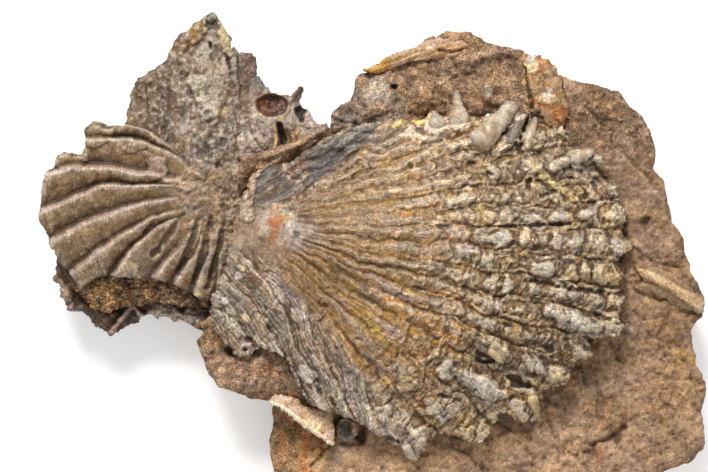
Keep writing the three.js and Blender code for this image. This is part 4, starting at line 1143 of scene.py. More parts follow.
def marks_on_shell(s):
    """Plates, knobs, hollows darkened with painted shade, a worm tube and stains. Gives back where knobs and
    hollows are.
    """
    lit = np.zeros(s.x.shape)
    marks = []
    for points, width, rise, colour in PLATES:
        mask = s.line(points, width, 0.3)
        s.z += rise * dome(mask)
        marks.append((ramp(0.05, 0.35, mask), colour))
    for k, (x, y, length, width, turn, rise, colour) in enumerate(KNOBS):
        mask = s.spot(x, y, length, width, turn, 0.35, 70 + k)
        s.z += rise * dome(mask) * (1 + 0.1 * s.noise(1.0, 71))
        lit = np.maximum(lit, mask)
        marks.append((0.9 * ramp(0.03, 0.3, mask), colour))
    sunk = s.hollows(HOLLOWS, 0.45, 130, 1)
    tube = np.hypot(s.x + 31.5, s.y + 23.3)
    s.z += 1.1 * np.exp(-((tube - 1.0) / 0.45) ** 2) - 0.5 * np.exp(-(tube / 0.55) ** 2)
    s.stains(STAINS, 0.6, 0.45)
    for mask, colour in marks:
        s.paint(mask * ramp(-0.7, -0.1, s.fractal(1.6, 4, 98) + 0.3 * lit), colour)
    # Painted shade in the hollows.
    s.paint(0.9 * sunk, "dark")
    return lit, sunk


def height_at(s, x, y):
    """The relief's height at a place."""
    row = int(np.clip(np.searchsorted(s.row_y, y), 0, len(s.row_y) - 1))
    column = int(np.clip(np.searchsorted(s.column_x, x), 0, len(s.column_x) - 1))
    return float(s.z[row, column])


# ---- The block of limestone ----
# Lines of cracks: points, width, depth.
CRACKS = [
    ([(-10, -47), (-12.5, -50), (-15, -52.6)], 1.4, 1), ([(63.5, -43), (60, -45.4), (55, -47.4)], 2.2, 1.6),
    ([(52, 37.5), (58, 34), (64, 33)], 1.6, 0.4), ([(64, 25), (69, 20), (72, 12)], 1.6, 0.5),
    ([(70, -29), (76, -31), (84, -31)], 0.9, 0.5), ([(40, -52), (44, -55), (50, -56)], 0.9, 0.6),
    ([(14, 46), (20, 44), (26, 46)], 1.2, 0.5), ([(64, 40), (60, 36), (57, 30)], 1.6, 0.4),
    ([(46, 31), (52, 34), (58, 40)], 1.6, 0.3), ([(66, 2), (71, -2), (78, -3)], 1, 0.6),
    ([(-16, 38), (-9, 34), (-3, 33)], 1.2, 0.8), ([(-10, 43), (-6, 38), (-4, 33)], 1, 0.6),
]
# Stains: place, length, width, turn, colour, strength. The dark and umber spots at (5.8, 42.2), (-35, -24),
# (-29, -22.8), (68.7, 9) and (61.6, -45.6) are painted shade in hollows sunk among the swells.
ROCK_STAINS = [
    (-8.5, -51, 8, 8, 0, "grey", 0.6), (1.6, 39.8, 19, 14, -20, "grey", 0.8),
    (2.6, 40.8, 14, 9, -20, "pale", 0.7), (-12, 35, 15, 7, 48, "lilac", 0.7),
    (-5.5, 33.6, 13, 7, 25, "grey", 0.9), (3, 34.8, 16, 5, -10, "grey", 0.7),
    (5.8, 42.2, 2.2, 2.2, 0, "dark", 1), (29, 40.6, 3.4, 4.6, 20, "pale", 0.9),
    (30, 50.6, 6, 3.4, 20, "cream", 0.6), (63.8, 38, 2.4, 1.2, -40, "cream", 0.9),
    (71, 16, 1.6, 0.9, 0, "white", 0.8), (65, -18.6, 4.2, 1.8, -50, "pale", 0.7),
    (77.8, -26, 7, 6, 0, "butter", 0.5), (57, -50.4, 3, 7, 0, "orange", 0.5),
    (61.6, -45.6, 6, 3, 20, "umber", 0.8), (-30, -31.8, 9, 4.4, -14, "pink", 0.8),
    (-35, -24, 4.4, 3.4, 0, "umber", 0.8), (-29, -22.8, 4, 2.8, 0, "dark", 0.7),
    (-26, -28, 9, 4, -20, "orange", 0.35), (68.7, 9, 3.2, 3.6, 0, "umber", 0.8),
    (66, 22, 10, 16, -30, "brown", 0.5), (16.5, 39.6, 24, 10, 0, "tan", 0.35),
    (17.4, 46, 26, 9, 0, "brown", 0.4), (-33.6, 17, 6, 15, 12, "grey", 0.6),
    (-33.6, 18, 5, 10, 20, "sand", 0.6), (-25, 23.8, 9, 4.4, 20, "sand", 0.5),
    (80, -44, 10, 14, 0, "sand", 0.4), (72, -8, 12, 4, -20, "brown", 0.3),
    (36, 33, 10, 10, 0, "brown", 0.4), (4, 36, 14, 5, 0, "pink", 0.4),
    (21.3, 39, 8, 11, 0, "redbrown", 0.4), (14, 43, 9, 4, 10, "sand", 0.4),
    (-7, 34, 8, 6, 30, "slate", 0.7), (2, 36.6, 8, 3, -10, "sand", 0.6), (-13, 36, 6, 4, 50, "grey", 0.6),
    (60, 32, 16, 10, -30, "brown", 0.4), (34, 46, 12, 9, 0, "brown", 0.3),
]
# Rises and hollows: place, length, width, turn, height.
SWELLS = [
    (-2.6, -44.8, 3.6, 6.5, 0, -3), (68.7, 9, 2.8, 3.2, 0, -1.4), (33.5, 47.6, 9, 7, 0, -1.6),
    (30, 50.6, 5, 3.2, 20, 1.2), (2.4, 40.6, 10, 9.5, -20, 1.3), (5.8, 42.2, 2.4, 2.4, 0, -2.2),
    (29, 40.6, 3.4, 4.6, 20, 1), (-35, -24, 4.4, 3.2, 0, -1.6), (-29, -22.8, 4, 2.6, 0, -1.4),
    (-30, -31.6, 9, 4.4, -14, 0.9), (63.6, 38, 2.6, 1.6, -40, 0.5), (71, 16, 1.6, 1, 0, 0.4),
    (65, -18.6, 4.2, 2, -50, 0.7), (61.6, -46.2, 5, 3.2, 20, -1.4), (16.4, 35, 4, 4.6, 0, 0.8),
    (13, -52, 9, 5, -20, 0.9), (-8.4, -50.4, 8, 6, 0, 1), (45, -46, 9, 6, -30, 0.7),
    (76, 0.5, 7, 5, -60, 1), (-33.4, 16.4, 4.6, 12, 12, 2.2), (-25.6, 23.4, 8, 4, 20, 0.8),
    (-12, 35.4, 8, 3.4, 50, 1.2), (-6.4, 32.6, 7, 3, 25, 1), (-27, 24, 4, 4, 0, -0.6),
]


def matrix_rock():
    s = Relief("matrix_rock", 0.34, 2.6, ragged=0.9, ragged_size=5.0)
    under_oysters = ("oyster_upper_valve", "oyster_lower_valve", "oyster_fill")
    oysters = np.maximum.reduce([s.inside_of(node) for node in under_oysters])
    valve = s.inside_of("ribbed_valve")
    s.reach(1.9, "cup_oyster", "oyster_upper_valve", "oyster_lower_valve")
    s.inside += 3.0 * s.spot(-31.0, 23.6, 8, 7, rough=0)
    # Facets, ledges and grain of broken stone.
    wx = s.x + 2.5 * s.fractal(9, 3, 1)
    wy = s.y + 2.5 * s.fractal(9, 3, 2)
    one, two, number = cells(wx, wy, 12, 1)
    s.z += 1.3 * ramp(0.0, 0.3, two - one) * (number - 0.3) - 0.5
    one, two, small = cells(wx, wy, 4.0, 2)
    s.z += 0.7 * (small - 0.5) * ramp(0.0, 0.25, two - one)
    slant = 0.8 * s.x + 0.6 * s.y + 3.0 * s.fractal(14, 3, 8)
    s.z += 0.9 * ((slant / 11.0) % 1.0 - 0.5) * ramp(40, 60, s.x + np.abs(s.y))
    s.z += 1.3 * s.fractal(16, 4, 5) - 0.9 * np.abs(s.fractal(5.5, 3, 3))
    s.z += 0.4 * s.fractal(2.2, 4, 6) + 0.2 * s.noise(0.8, 4)
    crumbs, _, size = cells(s.x, s.y, 1.5, 3)
    pits = ramp(0.3, 0.12, crumbs) * (size > 0.6)
    s.z -= 0.3 * pits
    s.z += 0.3 * ramp(0.45, 0.1, crumbs) * (size < 0.3)
    # Sediment banked against the shells.
    bank = np.exp(-np.clip(-valve, 0, None) / 1.6)
    s.z += 0.9 * bank * (0.6 + 0.6 * s.fractal(3, 3, 7))
    for points, width, deep in CRACKS:
        s.z -= deep * ramp(0, 0.8, s.line(points, width, 0.45))
    for x, y, length, width, turn, rise in SWELLS:
        mask = s.spot(x, y, length, width, turn, 0.3)
        s.z += rise * (dome(mask) if rise > 0 else ramp(0, 0.7, mask))
    # The top drops to the oyster's bed, and stays under whatever covers it.
    bed_height, bed_seen = heights_seen(["matrix_rock"])
    x, y = np.meshgrid(SAMPLE_X, SAMPLE_Y)
    deep = (bed_seen == 0) & (bed_height < 16)
    deep &= np.maximum.reduce([distance_inside(x, y, OUTLINES[node]) for node in under_oysters]) > 0.6
    floor = s.read(bed_height, deep, 1.5)
    s.z = np.where(oysters > 0.5, np.minimum(floor, s.z), s.z)
    on_top = ("rim_shell", "crust_shell", "shell_splinter", "ribbed_lower_valve", "disc_shell", "cup_oyster")
    for node in on_top:
        s.z -= 2.2 * ramp(-0.3, 0.9, s.inside_of(node))
    under = s.read(SEEN_HEIGHT, SEEN_NODE == NODES.index("ribbed_valve"), 3.0)
    s.z = np.where(valve > 0.2, np.minimum(s.z, under - 2.4), s.z)
    s.round_edge(1.6, 1.4)
    paint_rock(s, bank, pits, small)
    s.finish("limestone_block", "limestone", LIMESTONE,
             rows=20, inset=2.2, rough=2.2, rough_size=7.0, wall_tint="stone", hole=(valve > 3.2),
             hole_floor=BED - 0.6)


def paint_rock(s, bank, pits, number):
    """Brown stone, sandy and grey in places, with an ochre slab in the front left corner."""
    broad = s.fractal(22, 5, 15)
    patch = s.fractal(6, 5, 16)
    crumb = s.fractal(1.6, 3, 14)
    s.paint(1, "stone")
    s.coats(
        1, (0.5, 0, 0.5, broad, "sand"), (0.5, 0, 0.5, -broad + 0.4 * patch, "brown"),
        (0.4, 0.1, 0.4, patch, "ochre"), (0.35, 0.1, 0.4, -patch, "pink"),
        (0.35, 0.1, 0.4, crumb, "redbrown"), (0.35, 0.1, 0.4, -crumb, "sand"),
    )
    # Lighter towards the front edge: painted light that makes up for the front slopes facing away from the
    # key light.
    s.paint(0.7 * ramp(-40, -50, s.y) * ramp(-0.6, 0.2, patch), "sand")
    slab = s.area([(-26, -38), (-12, -42), (-10, -48), (-15, -52), (-12, -62), (-28, -62)], 1.2)
    streaks = fractal(s.x, s.y * 0.22, 2.0, 4, 17)
    s.paint(0.5 * slab, "ochre")
    s.coats(slab, (0.45, -0.1, 0.4, streaks, "orange"), (0.35, 0.1, 0.6, -streaks, "umber"))
    s.stains(ROCK_STAINS, 0.55)
    # A cream line, and painted shade where the rock meets the file shell's margin.
    s.coats(
        1, (0.8, 0, 0.5, s.line([(17, -52.4), (19, -50.6), (21, -48.5)], 0.7), "cream"),
        (0.4, 0.75, 1, bank, "umber"),
    )
    # Painted shade in the pits.
    s.paint(0.35 * pits, "umber")
    # Painted shade in hollows and low places, and painted highlight on high places.
    near = s.above(0.8)
    wide = s.above(3.5)
    s.coats(
        1, (0.4, 0.06, 0.5, -near, "umber"), (0.45, 0.04, 0.3, near, "sand"),
        (0.25, 0.3, 1.4, -wide, "umber"),
    )
    s.shade(0.26 * s.noise(0.8, 18) + 0.16 * s.noise(2.2, 19) + 0.12 * (number - 0.5))
    s.wear = 0.3 + 0.5 * near
    coarse = np.maximum(ramp(20, 34, s.y), ramp(-14, -24, s.x))
    # Coarse specks, and painted light that lightens the front edge left of the middle.
    s.shade(0.34 * coarse * s.noise(0.9, 20) + 0.2 * ramp(-46, -52, s.y) * ramp(56, 40, s.x))
    s.shade(-0.1 * ramp(48, 60, s.x))
    s.grain = 0.25 + 0.75 * coarse


# ---- The pleated oyster ----
def pleat_profile(distance, degrees):
    """Height of the pleats from -0.5 to 0.5, and the share of the way from one crest to the next."""
    outwards = (distance - 20) / 25
    crests = [inner + (outer - inner) * outwards for inner, outer in PLEATS]
    height = np.zeros(distance.shape)
    way = np.full(distance.shape, 0.5)
    for here, there in zip(crests, crests[1:]):
        between = (degrees >= here) & (degrees < there)
        share = (degrees - here) / (there - here)
        slope = 0.5 - np.clip(share / PLEAT_TURN, 0, 1) ** 1.5
        rise = (share - PLEAT_TURN) / (1 - PLEAT_TURN) - 0.5
        height = np.where(between, np.where(share < PLEAT_TURN, slope, rise), height)
        way = np.where(between, share, way)
    return height, way


# Lumps on the oyster: place, length, width, turn, height, colour.
OYSTER_LUMPS = [
    (-68.4, 30, 8, 6, 5, 1.5, "tan"), (-74.6, 23.4, 8, 4.6, 5, 1, "tan"),
    (-54.1, 22.6, 7, 5, -45, 1.4, "pink"), (-61, -3.2, 6, 5, 20, 1.2, "tan"),
    (-44.6, 55.4, 13, 4, 48, 1.1, "ochre"), (-36.6, 54.4, 3, 9, 18, 0.9, "butter"),
    (-40, 59.6, 4, 2.6, 40, 1, "umber"), (-43.6, 43.4, 6, 5, 0, 0.8, "pale"),
    (-40.4, 37.6, 6.4, 6, -30, 0.8, "pale"), (-42, 50, 5.5, 6, 0, 0.5, "pale"),
    (-47, 28, 6, 8, 10, 0.6, "tan"), (-46, 17.6, 5, 3.4, 0, 0.8, "tan"), (-42, 22.4, 6, 5, 30, 0.8, "grey"),
    (-38.2, 27.8, 5, 6, 0, 0.6, "grey"), (-53.6, 34.5, 5, 9, -20, 0.4, "brown"),
    (-44.6, 8, 5, 2, 20, 0.4, "tan"), (-50.6, 18.4, 7, 2.2, 15, 0.6, "tan"),
    (-58.6, 27.4, 8, 2.4, 20, 0.6, "brown"),
]
# Stains on the oyster: place, length, width, turn, colour, strength.
OYSTER_STAINS = [
    (-36.9, 35.8, 3.4, 3, 0, "butter", 0.6), (-45.2, 54.6, 14, 6, 50, "ochre", 0.9),
    (-46.4, 54, 9, 4, 50, "rust", 0.6), (-40, 59.6, 3.6, 2.6, 40, "umber", 0.9),
    (-36.4, 54.4, 3, 8, 18, "butter", 0.8), (-63.6, 30.4, 2.2, 2.6, 0, "rust", 0.5),
    (-40.6, -2.4, 6, 9, -20, "dark", 0.6), (-36.4, 2.2, 4, 9, -20, "umber", 0.6),
    (-60.9, -3.4, 2.4, 1.3, 20, "white", 1), (-34.9, 46, 2, 10, 5, "umber", 0.6),
    (-37, 16.5, 5, 3, 0, "umber", 0.7), (-41.5, 26.5, 4.5, 7, 10, "umber", 0.5),
    (-35, 30.5, 5, 8, 0, "brown", 0.5), (-47, 32, 6, 4, 0, "lilac", 0.5), (-43, 12, 8, 5, 10, "grey", 0.5),
    (-40, 8.6, 5, 5, 0, "umber", 0.4), (-61, -8, 8, 3, 0, "grey", 0.4), (-61, 5, 17, 9, 25, "stone", 0.8),
    # The umber row at (-35.6, 14) is painted shade in the crevice between the oyster and the file shell's
    # collar.
    (-35.6, 14, 5, 16, 0, "umber", 0.6), (-58, -2, 11, 10, 20, "slate", 0.35),
    (-48.5, 15, 15, 8, 10, "slate", 0.25),
]


def oyster_upper():
    s = Relief("oyster_upper_valve", 0.25, 3.6, ragged=0.35, ragged_size=2.2)
    s.reach(0.9, "cup_oyster", "ribbed_valve", "matrix_rock")
    wx = s.x + 0.6 * s.fractal(7, 3, 111)
    wy = s.y + 0.6 * s.fractal(7, 3, 112)
    distance, degrees = polar(HINGE, wx, wy)
    degrees = degrees % 360
    height, way = pleat_profile(distance, degrees)
    pleated = ramp(133, 140, degrees) * (1 - ramp(262, 272, degrees))
    pleated = pleated * ramp(6, 16, distance)
    grown = ramp(3, 30, distance)
    s.z += 3.1 * grown * pleated * height
    # Growth lines round the hinge, on pleats and wing.
    lines = distance + 0.5 * s.fractal(5, 3, 113)
    fine = 0.5 + 0.5 * np.sin(lines * math.tau / 0.66 + 2.5 * s.noise(3, 114))
    broad = (lines / 7.5 + 0.3 * s.noise(9, 115)) % 1.0
    s.z += pleated * (0.06 * fine + 0.25 * (broad - 0.5) * ramp(18, 30, distance))
    wing = ramp(20, 26, s.y) * (1 - pleated)
    s.z += (1 - pleated) * (s.fractal(6.0, 4, 116) - 0.3 * np.abs(s.fractal(3, 3, 110)))
    s.z += (1 - pleated) * 0.3 * s.fractal(1.2, 3, 117)
    s.z += pleated * (0.3 * s.fractal(2.6, 4, 118) + 0.06 * s.noise(0.6, 119))
    wing_edge, wing_flake = flakes(s.x, s.y * 0.6, 3.0, 217)
    s.z += (1 - pleated) * (0.35 * (wing_flake - 0.5) - 0.06 * wing_edge)
    marks = []
    for x, y, length, width, turn, rise, colour in OYSTER_LUMPS:
        mask = s.spot(x, y, length, width, turn, 0.4)
        s.z += rise * dome(mask)
        marks.append((ramp(0.0, 0.4, mask), colour))
    dips = s.hollows((
        (-40.3, 52.9, 1.4, 2.6, 15, 1.2), (-35.6, 48.6, 1.3, 4.5, 10, 1), (-38, 22.6, 2.6, 1.6, 40, 0.5),
    ), 0.6, 5, 0)
    for points in (
        [(-36.2, 11), (-38, 2), (-41, -8)], [(-39.6, 11), (-41.6, 3), (-44.4, -6.6)],
        [(-42.6, 11), (-45.2, 3), (-48, -4.4)], [(-46, 12), (-50.5, 5.6), (-54.4, 0.4)],
        [(-48.6, 13.6), (-52.6, 10.4), (-56.6, 6)],
    ):
        groove = s.line(points, 2.3, 0.3) * ramp(13, 6, s.y)
        s.z -= 0.8 * ramp(0, 0.9, groove)
        dips = np.maximum(dips, 0.6 * ramp(0.15, 0.9, groove))
    crack = s.line(
        [(-46.6, 45), (-45.2, 40.6), (-43, 37.6), (-41, 34.6), (-38.6, 32.6), (-37.4, 28.6)], 2.2, 0.9
    )
    s.z -= 0.6 * ramp(0, 0.9, crack)
    dips = np.maximum(dips, 0.6 * ramp(0.1, 0.9, crack))
    s.round_edge(0.9, 0.6)
    arc = np.radians(degrees) * 30
    s.run_along(pleated, arc, lines)
    s.run_along(wing, s.y, s.x)
    patch = s.patches(6, 5, 120, 4)
    paint_pleats(s, pleated, way, distance, degrees, patch)
    paint_wing(s, wing, wing_edge, wing_flake, patch)
    s.stains(OYSTER_STAINS, 0.6)
    for mask, colour in marks:
        s.paint(0.7 * mask, colour)
    bright = s.area([(-46, 50), (-38, 50), (-36, 34), (-44, 34), (-47, 42)], 3.0)
    s.shade(-0.44 * wing * (1 - 0.85 * bright))
    # Painted shade in the grooves, the crack and the pits.
    s.paint(0.85 * dips, "dark")
    # Painted shade in hollows and low places, and painted highlight on high places.
    near = s.above(0.6)
    wide = s.above(2.2)
    s.coats(
        1, (0.65, 0.03, 0.35, -near, "dark"), (0.45, 0.2, 1, -wide, "umber"),
        (0.45, 0.03, 0.2, near, "pale"),
    )
    s.shade(pleated * 0.2 * (fine - 0.5) + 0.18 * s.noise(0.5, 126) + 0.2 * s.noise(1.3, 127))
    s.wear = 0.7 + 0.8 * near - 0.4 * dips - 0.2 * (1 - pleated)
    s.grain = 0.4 + 0.4 * (1 - pleated) - 0.3 * near
    under = s.read(*heights_below("oyster_upper_valve"), 2.5) + 0.4 * s.fractal(4, 3, 128)
    s.finish("oyster_upper_worn", "oyster_shell", OYSTER_SHELL,
             floor=under, rows=6, rough=0.5, rough_size=1.4, bulge=0.25, wall_tint="umber")


def paint_pleats(s, pleated, way, distance, degrees, patch):
    """Olive-brown slopes, painted lighter below each crest and darker towards the valley as painted shade,
    pale pinkish painted highlight on the rises and crests, and painted shade in the valleys.
    """
    s.paint(1, "tan")
    # Grey, olive and brown down each slope: painted shade that deepens towards the valley.
    s.coats(
        pleated, (0.5, 0.3, 0.05, way, "grey"), (0.75, 0.12, 0.4, way, "olive"),
        (0.75, 0.3, 0.75, way, "brown"),
    )
    s.coats(1, (0.45, 0.1, 0.4, patch[0], "brown"), (0.35, 0.2, 0.5, patch[1], "grey"))
    s.paint(0.2 * pleated, "ochre")
    s.shade(-0.13 * pleated)
    # Painted highlight, pink and lilac, on the rises that face the light and on the crests.
    lit_rises = ramp(PLEAT_TURN + 0.02, PLEAT_TURN + 0.10, way) + ramp(0.12, 0.02, way)
    lit_rises = lit_rises * pleated * ramp(12, 20, distance)
    s.coats(lit_rises, (0.8, -0.6, 0, patch[2] + 0.3, "pink"), (0.5, 0, 0.3, patch[3], "lilac"))
    # Painted shade along each valley.
    valley_shade = np.exp(-((way - PLEAT_TURN) / 0.05) ** 2) * pleated * ramp(8, 20, distance)
    s.paint(0.6 * valley_shade, "dark")
    # More painted shade on the lower halves of the slopes of the low pleats.
    low = ramp(222, 240, degrees) * pleated
    s.paint(0.4 * low * ramp(0.4, 0.8, way), "umber")


def paint_wing(s, wing, edge, flake, patch):
    """Brown and striped on the left, mottled grey on the right."""
    s.paint(0.8 * wing, "tan")
    left = wing * ramp(-46, -52, s.x)
    strokes = fractal(s.x * 1.2, s.y * 0.16, 1.3, 4, 125)
    s.paint(0.75 * left, "brown")
    s.coats(left, (0.6, 0, 0.3, strokes, "tan"), (0.4, 0, 0.3, -strokes, "umber"))
    s.shade(-0.17 * left)
    right = wing * ramp(-51, -46, s.x)
    s.mosaic(0.8 * right, flake, ("grey", "pale", "tan", "grey", "lilac", "brown", "pale", "stone"))
    s.coats(right, (0.5, 0, 0.3, patch[1], "pale"), (0.6, 0.1, 0.3, patch[2], "brown"))
    s.paint(0.25 * wing * edge, "brown")


def heights_below(node):
    """The heights of a node's underside, and where they are known."""
    height, seen = heights_seen([node], from_below=True)
    return height, seen == 0


def oyster_lower():
    s = Relief("oyster_lower_valve", 0.3, 1.6, ragged=0.9, ragged_size=2.0)
    s.reach(0.8, "matrix_rock", "ribbed_valve")
    distance, degrees = polar(HINGE, s.x, s.y)
    lines = distance + 0.8 * s.fractal(4, 3, 141)
    s.z += 0.7 * ((lines / 3.1) % 1.0 - 0.5) + 0.9 * s.fractal(2.6, 4, 142)
    s.z += 0.5 * np.abs(noise(degrees * 0.35, distance * 0.06, 1.0, 143))
    s.ridges((
        ([(-65, -19), (-62.4, -15.4), (-60, -12.2)], 1.6, 1.4),
        ([(-60, -12.2), (-57.6, -15), (-55, -16)], 1.5, 1.2),
        ([(-79, -5.5), (-76.4, -9.4), (-75.6, -13.2)], 2.4, 1),
        ([(-52, -15), (-48, -14.6), (-43, -16)], 1.4, 0.9),
    ), 0.3)
    s.round_edge(0.8, 0.6)
    patch = s.patches(4, 4, 145, 3)
    s.paint(1, "umber")
    s.coats(
        1, (0.7, -0.1, 0.5, patch[0], "brown"), (0.6, 0.1, 0.6, patch[1], "grey"),
        (0.6, 0.1, 0.6, patch[2], "dark"),
    )
    s.stains((
        (-77.4, -9, 5, 9, -25, "olive", 0.9), (-68, -15, 8, 4, -40, "brown", 0.7),
        (-51.6, -14.2, 5, 2, 0, "pale", 0.7), (-47, -15.4, 4, 1.6, 10, "lilac", 0.7),
        (-44.6, -12, 4, 1.4, 10, "pale", 0.6), (-73.4, -8.4, 2, 3, 0, "slate", 0.8),
        (-48, -15.6, 17, 4.4, 0, "pale", 0.9),
    ), 0.5)
    s.coats(
        1, (0.9, 0.1, 0.5, s.line([(-65, -19), (-62.4, -15.4), (-60, -12.2)], 1, 0.3), "pink"),
        (0.8, 0.1, 0.5, s.line([(-60, -12.2), (-57.6, -15), (-55, -16)], 0.9, 0.3), "lilac"),
    )
    # Painted shade in hollows and painted highlight on high places.
    near = s.above(0.8)
    s.coats(1, (0.7, 0.05, 0.5, -near, "dark"), (0.6, 0.1, 0.5, near, "pink"))
    s.shade(0.25 * s.noise(0.7, 148))
    s.wear = 0.6 + 0.6 * near
    under = s.read(*heights_below("oyster_lower_valve"), 2.0) + 0.5 * s.fractal(4, 4, 149)
    s.finish("oyster_lower_worn", "oyster_shell", OYSTER_SHELL,
             floor=under, rows=6, rough=0.8, rough_size=1.6, bulge=0.2, wall_tint="umber")


def oyster_fill():
    s = Relief("oyster_fill", 0.26, 3.0, ragged=0.8, ragged_size=2.0)
    s.reach(0.8, "oyster_upper_valve", "oyster_lower_valve")
    grains, _, number = cells(s.x, s.y, 1.1, 6)
    s.z += 0.9 * (0.5 - grains) + 0.7 * s.fractal(2.6, 4, 151)
    s.round_edge(1.8, 1.6)
    patch = s.fractal(3, 4, 152)
    s.paint(1, "brown")
    s.coats(1, (0.6, -0.1, 0.3, patch, "ochre"), (0.4, 0.1, 0.6, -patch, "umber"))
    s.paint(0.5 * (number > 0.6), "sand")
    s.paint(0.45 * (number < 0.25), "umber")
    # Painted shade in the gaps between the grains.
    s.paint(0.6 * ramp(0.5, 0.75, grains), "dark")
    s.shade(0.12 + 0.36 * s.noise(0.6, 153))
    s.grain[:] = 0.9
    s.wear[:] = 0.2
    s.finish("oyster_sediment", "sediment", SEDIMENT, rows=5, rough=0.8, rough_size=1.5, wall_tint="umber")


# ---- The small oyster with its cup and horn ----
def cup_oyster():
    s = Relief("cup_oyster", 0.18, 1.1, ragged=0.3, ragged_size=1.2)
    s.reach(2.2, "oyster_upper_valve", "matrix_rock")
    s.z += 0.5 * s.fractal(2.4, 4, 161) + 0.14 * s.fractal(0.7, 2, 162)
    cup = np.hypot((s.x + 24.8) / 4.0, (s.y - 37.4) / 2.9) + 0.08 * s.fractal(2, 3, 163)
    s.z += 0.9 * np.exp(-((cup - 1.1) / 0.13) ** 2) + 3.6 * ramp(1.0, 0.3, cup)
    slit = s.line([(-22.4, 25.8), (-21.8, 29.2), (-23.0, 32.6)], 2.2, 0.2)
    s.z -= 2.6 * ramp(0.1, 0.8, slit)
    s.ridges((
        ([(-24, 32.6), (-23.6, 29), (-24.2, 25.8)], 1.3, 1.4),
        ([(-20, 31.6), (-19.4, 28.6), (-20.4, 26)], 1.6, 1),
        ([(-20.6, 38.8), (-18.8, 41.2), (-16.6, 42.9)], 1.5, 1.3),
        ([(-29.4, 33), (-28.4, 30), (-26.6, 27.6)], 2, 0.8),
        ([(-17, 33), (-14.6, 32.6), (-12.8, 32.2)], 1.6, 0.7),
    ), 0.25)
    hollow = s.spot(-17.6, 35.6, 3.6, 5.0, 0, 0.3)
    s.z -= 2.0 * ramp(0, 0.6, hollow)
    s.round_edge(0.8, 0.5)
    patch = s.patches(3, 4, 165, 3)
    s.paint(1, "grey")
    s.coats(
        1, (0.7, -0.1, 0.5, patch[0], "brown"), (0.6, 0.1, 0.5, patch[1], "pink"),
        (0.6, 0.1, 0.5, patch[2], "pale"),
    )
    # The inside of the cup is redbrown, with painted shade in rust on its left side, a pink painted highlight
    # in its middle, and umber on its right.
    inside_cup = ramp(1.02, 0.88, cup)
    s.paint(inside_cup, "redbrown")
    s.coats(
        inside_cup, (0.8, -24.4, -27, s.x, "rust"),
        (0.6, 0.5, 0.1, np.hypot(cup, (s.x + 23.8) / 4), "pink"), (0.85, -21.6, -20.8, s.x, "umber"),
    )
    rim = np.exp(-((cup - 1.12) / 0.12) ** 2)
    s.coats(rim, (0.8, 37, 34.4, s.y, "cream"), (0.6, 37, 40, s.y, "redbrown"))
    s.stains((
        (-31.2, 48, 7, 10, 0, "redbrown", 0.7), (-31, 47.4, 4, 6, 0, "pink", 0.4),
        (-31.8, 42, 5, 10, 0, "brown", 0.8), (-31.4, 46.6, 6, 12, 0, "redbrown", 0.5),
        (-28.2, 43, 3.4, 5, 0, "slate", 0.8), (-31.6, 38, 3, 9, 0, "brown", 0.8),
        (-27, 38.6, 3.4, 4.6, 0, "rust", 0.7), (-26.4, 30.4, 5, 4, 0, "lilac", 0.6),
        (-18.3, 41.4, 4.4, 2.6, 45, "brown", 0.8), (-15, 34.4, 3, 4, 0, "lilac", 0.6),
        (-29, 29.6, 4, 5, 0, "pale", 0.5), (-19.6, 29, 3, 6.4, 0, "ochre", 0.7),
        (-18.4, 30.8, 2.4, 3.6, 0, "gold", 0.5),
    ), 0.4)
    # A butter ridge, and painted shade in the slit and the hollow.
    s.coats(
        1, (0.9, 0.1, 0.6, s.line([(-24, 32.6), (-23.6, 29), (-24.2, 25.8)], 1.1, 0.2), "butter"),
        (1, 0.25, 0.8, slit, "dark"), (0.95, 0.1, 0.6, hollow, "black"),
    )
    # Painted shade in hollows and painted highlight on high places. The inside of the cup gets more painted
    # shade, and the piece is darker towards the back.
    near = s.above(0.6)
    s.coats(1, (0.6, 0.05, 0.4, -near, "dark"), (0.5, 0.05, 0.35, near, "pink"))
    s.shade(0.28 * s.noise(0.6, 168) - 0.4 * ramp(38, 42, s.y) - 0.3 * inside_cup)
    s.wear = 0.6 + 0.5 * near + 0.3 * inside_cup
    s.finish("cup_oyster_worn", "oyster_shell", OYSTER_SHELL,
             rows=9, rough=0.9, rough_size=2.0, inset=0.4, wall_tint="brown")


# ---- Fragments set in the block ----
def rim_shell():
    s = Relief("rim_shell", 0.2, 1.4, ragged=0.5, ragged_size=1.6)
    s.reach(0.5, "matrix_rock")
    run = s.y - 0.34 * s.x + 0.3 * s.fractal(4, 3, 171)
    s.z += 0.5 * ((run / 1.5) % 1.0 - 0.5) + 0.35 * s.fractal(2, 4, 172)
    s.z -= ramp(0, 0.7, s.line([(17, 51.4), (20, 51), (24, 51.6)], 1.1))
    s.round_edge(0.8, 0.6)
    wave = fractal(s.x * 0.3, run, 1.2, 4, 173)
    s.paint(1, "sand")
    s.coats(
        1, (0.8, 0, 0.4, wave, "cream"), (0.6, 0.35, 0.6, wave, "white"), (0.6, 0.1, 0.5, -wave, "ochre"),
        (0.9, 5.5, 2.5, s.x, "gold"),
    )
    s.paint(0.5 * ramp(5.5, 2.5, s.x) * ramp(0, 0.5, wave), "butter")
    s.paint(0.7 * ramp(15, 18, s.x) * ramp(0.0, 0.4, wave), "orange")
    s.paint(0.5 * ramp(0.9, 0.2, s.inside) * ramp(3, 7, s.x), "lilac")
    # Painted shade in the hollows.
    near = s.above(0.6)
    s.paint(0.6 * ramp(0.05, 0.4, -near), "brown")
    s.shade(0.16 * s.noise(0.6, 174))
    s.wear = 0.7 + 0.4 * near
    s.grain[:] = 0.3
    s.finish("rim_shell_worn", "pale_shell", PALE_SHELL, rows=4, rough=0.3, rough_size=1.2, wall_tint="sand")


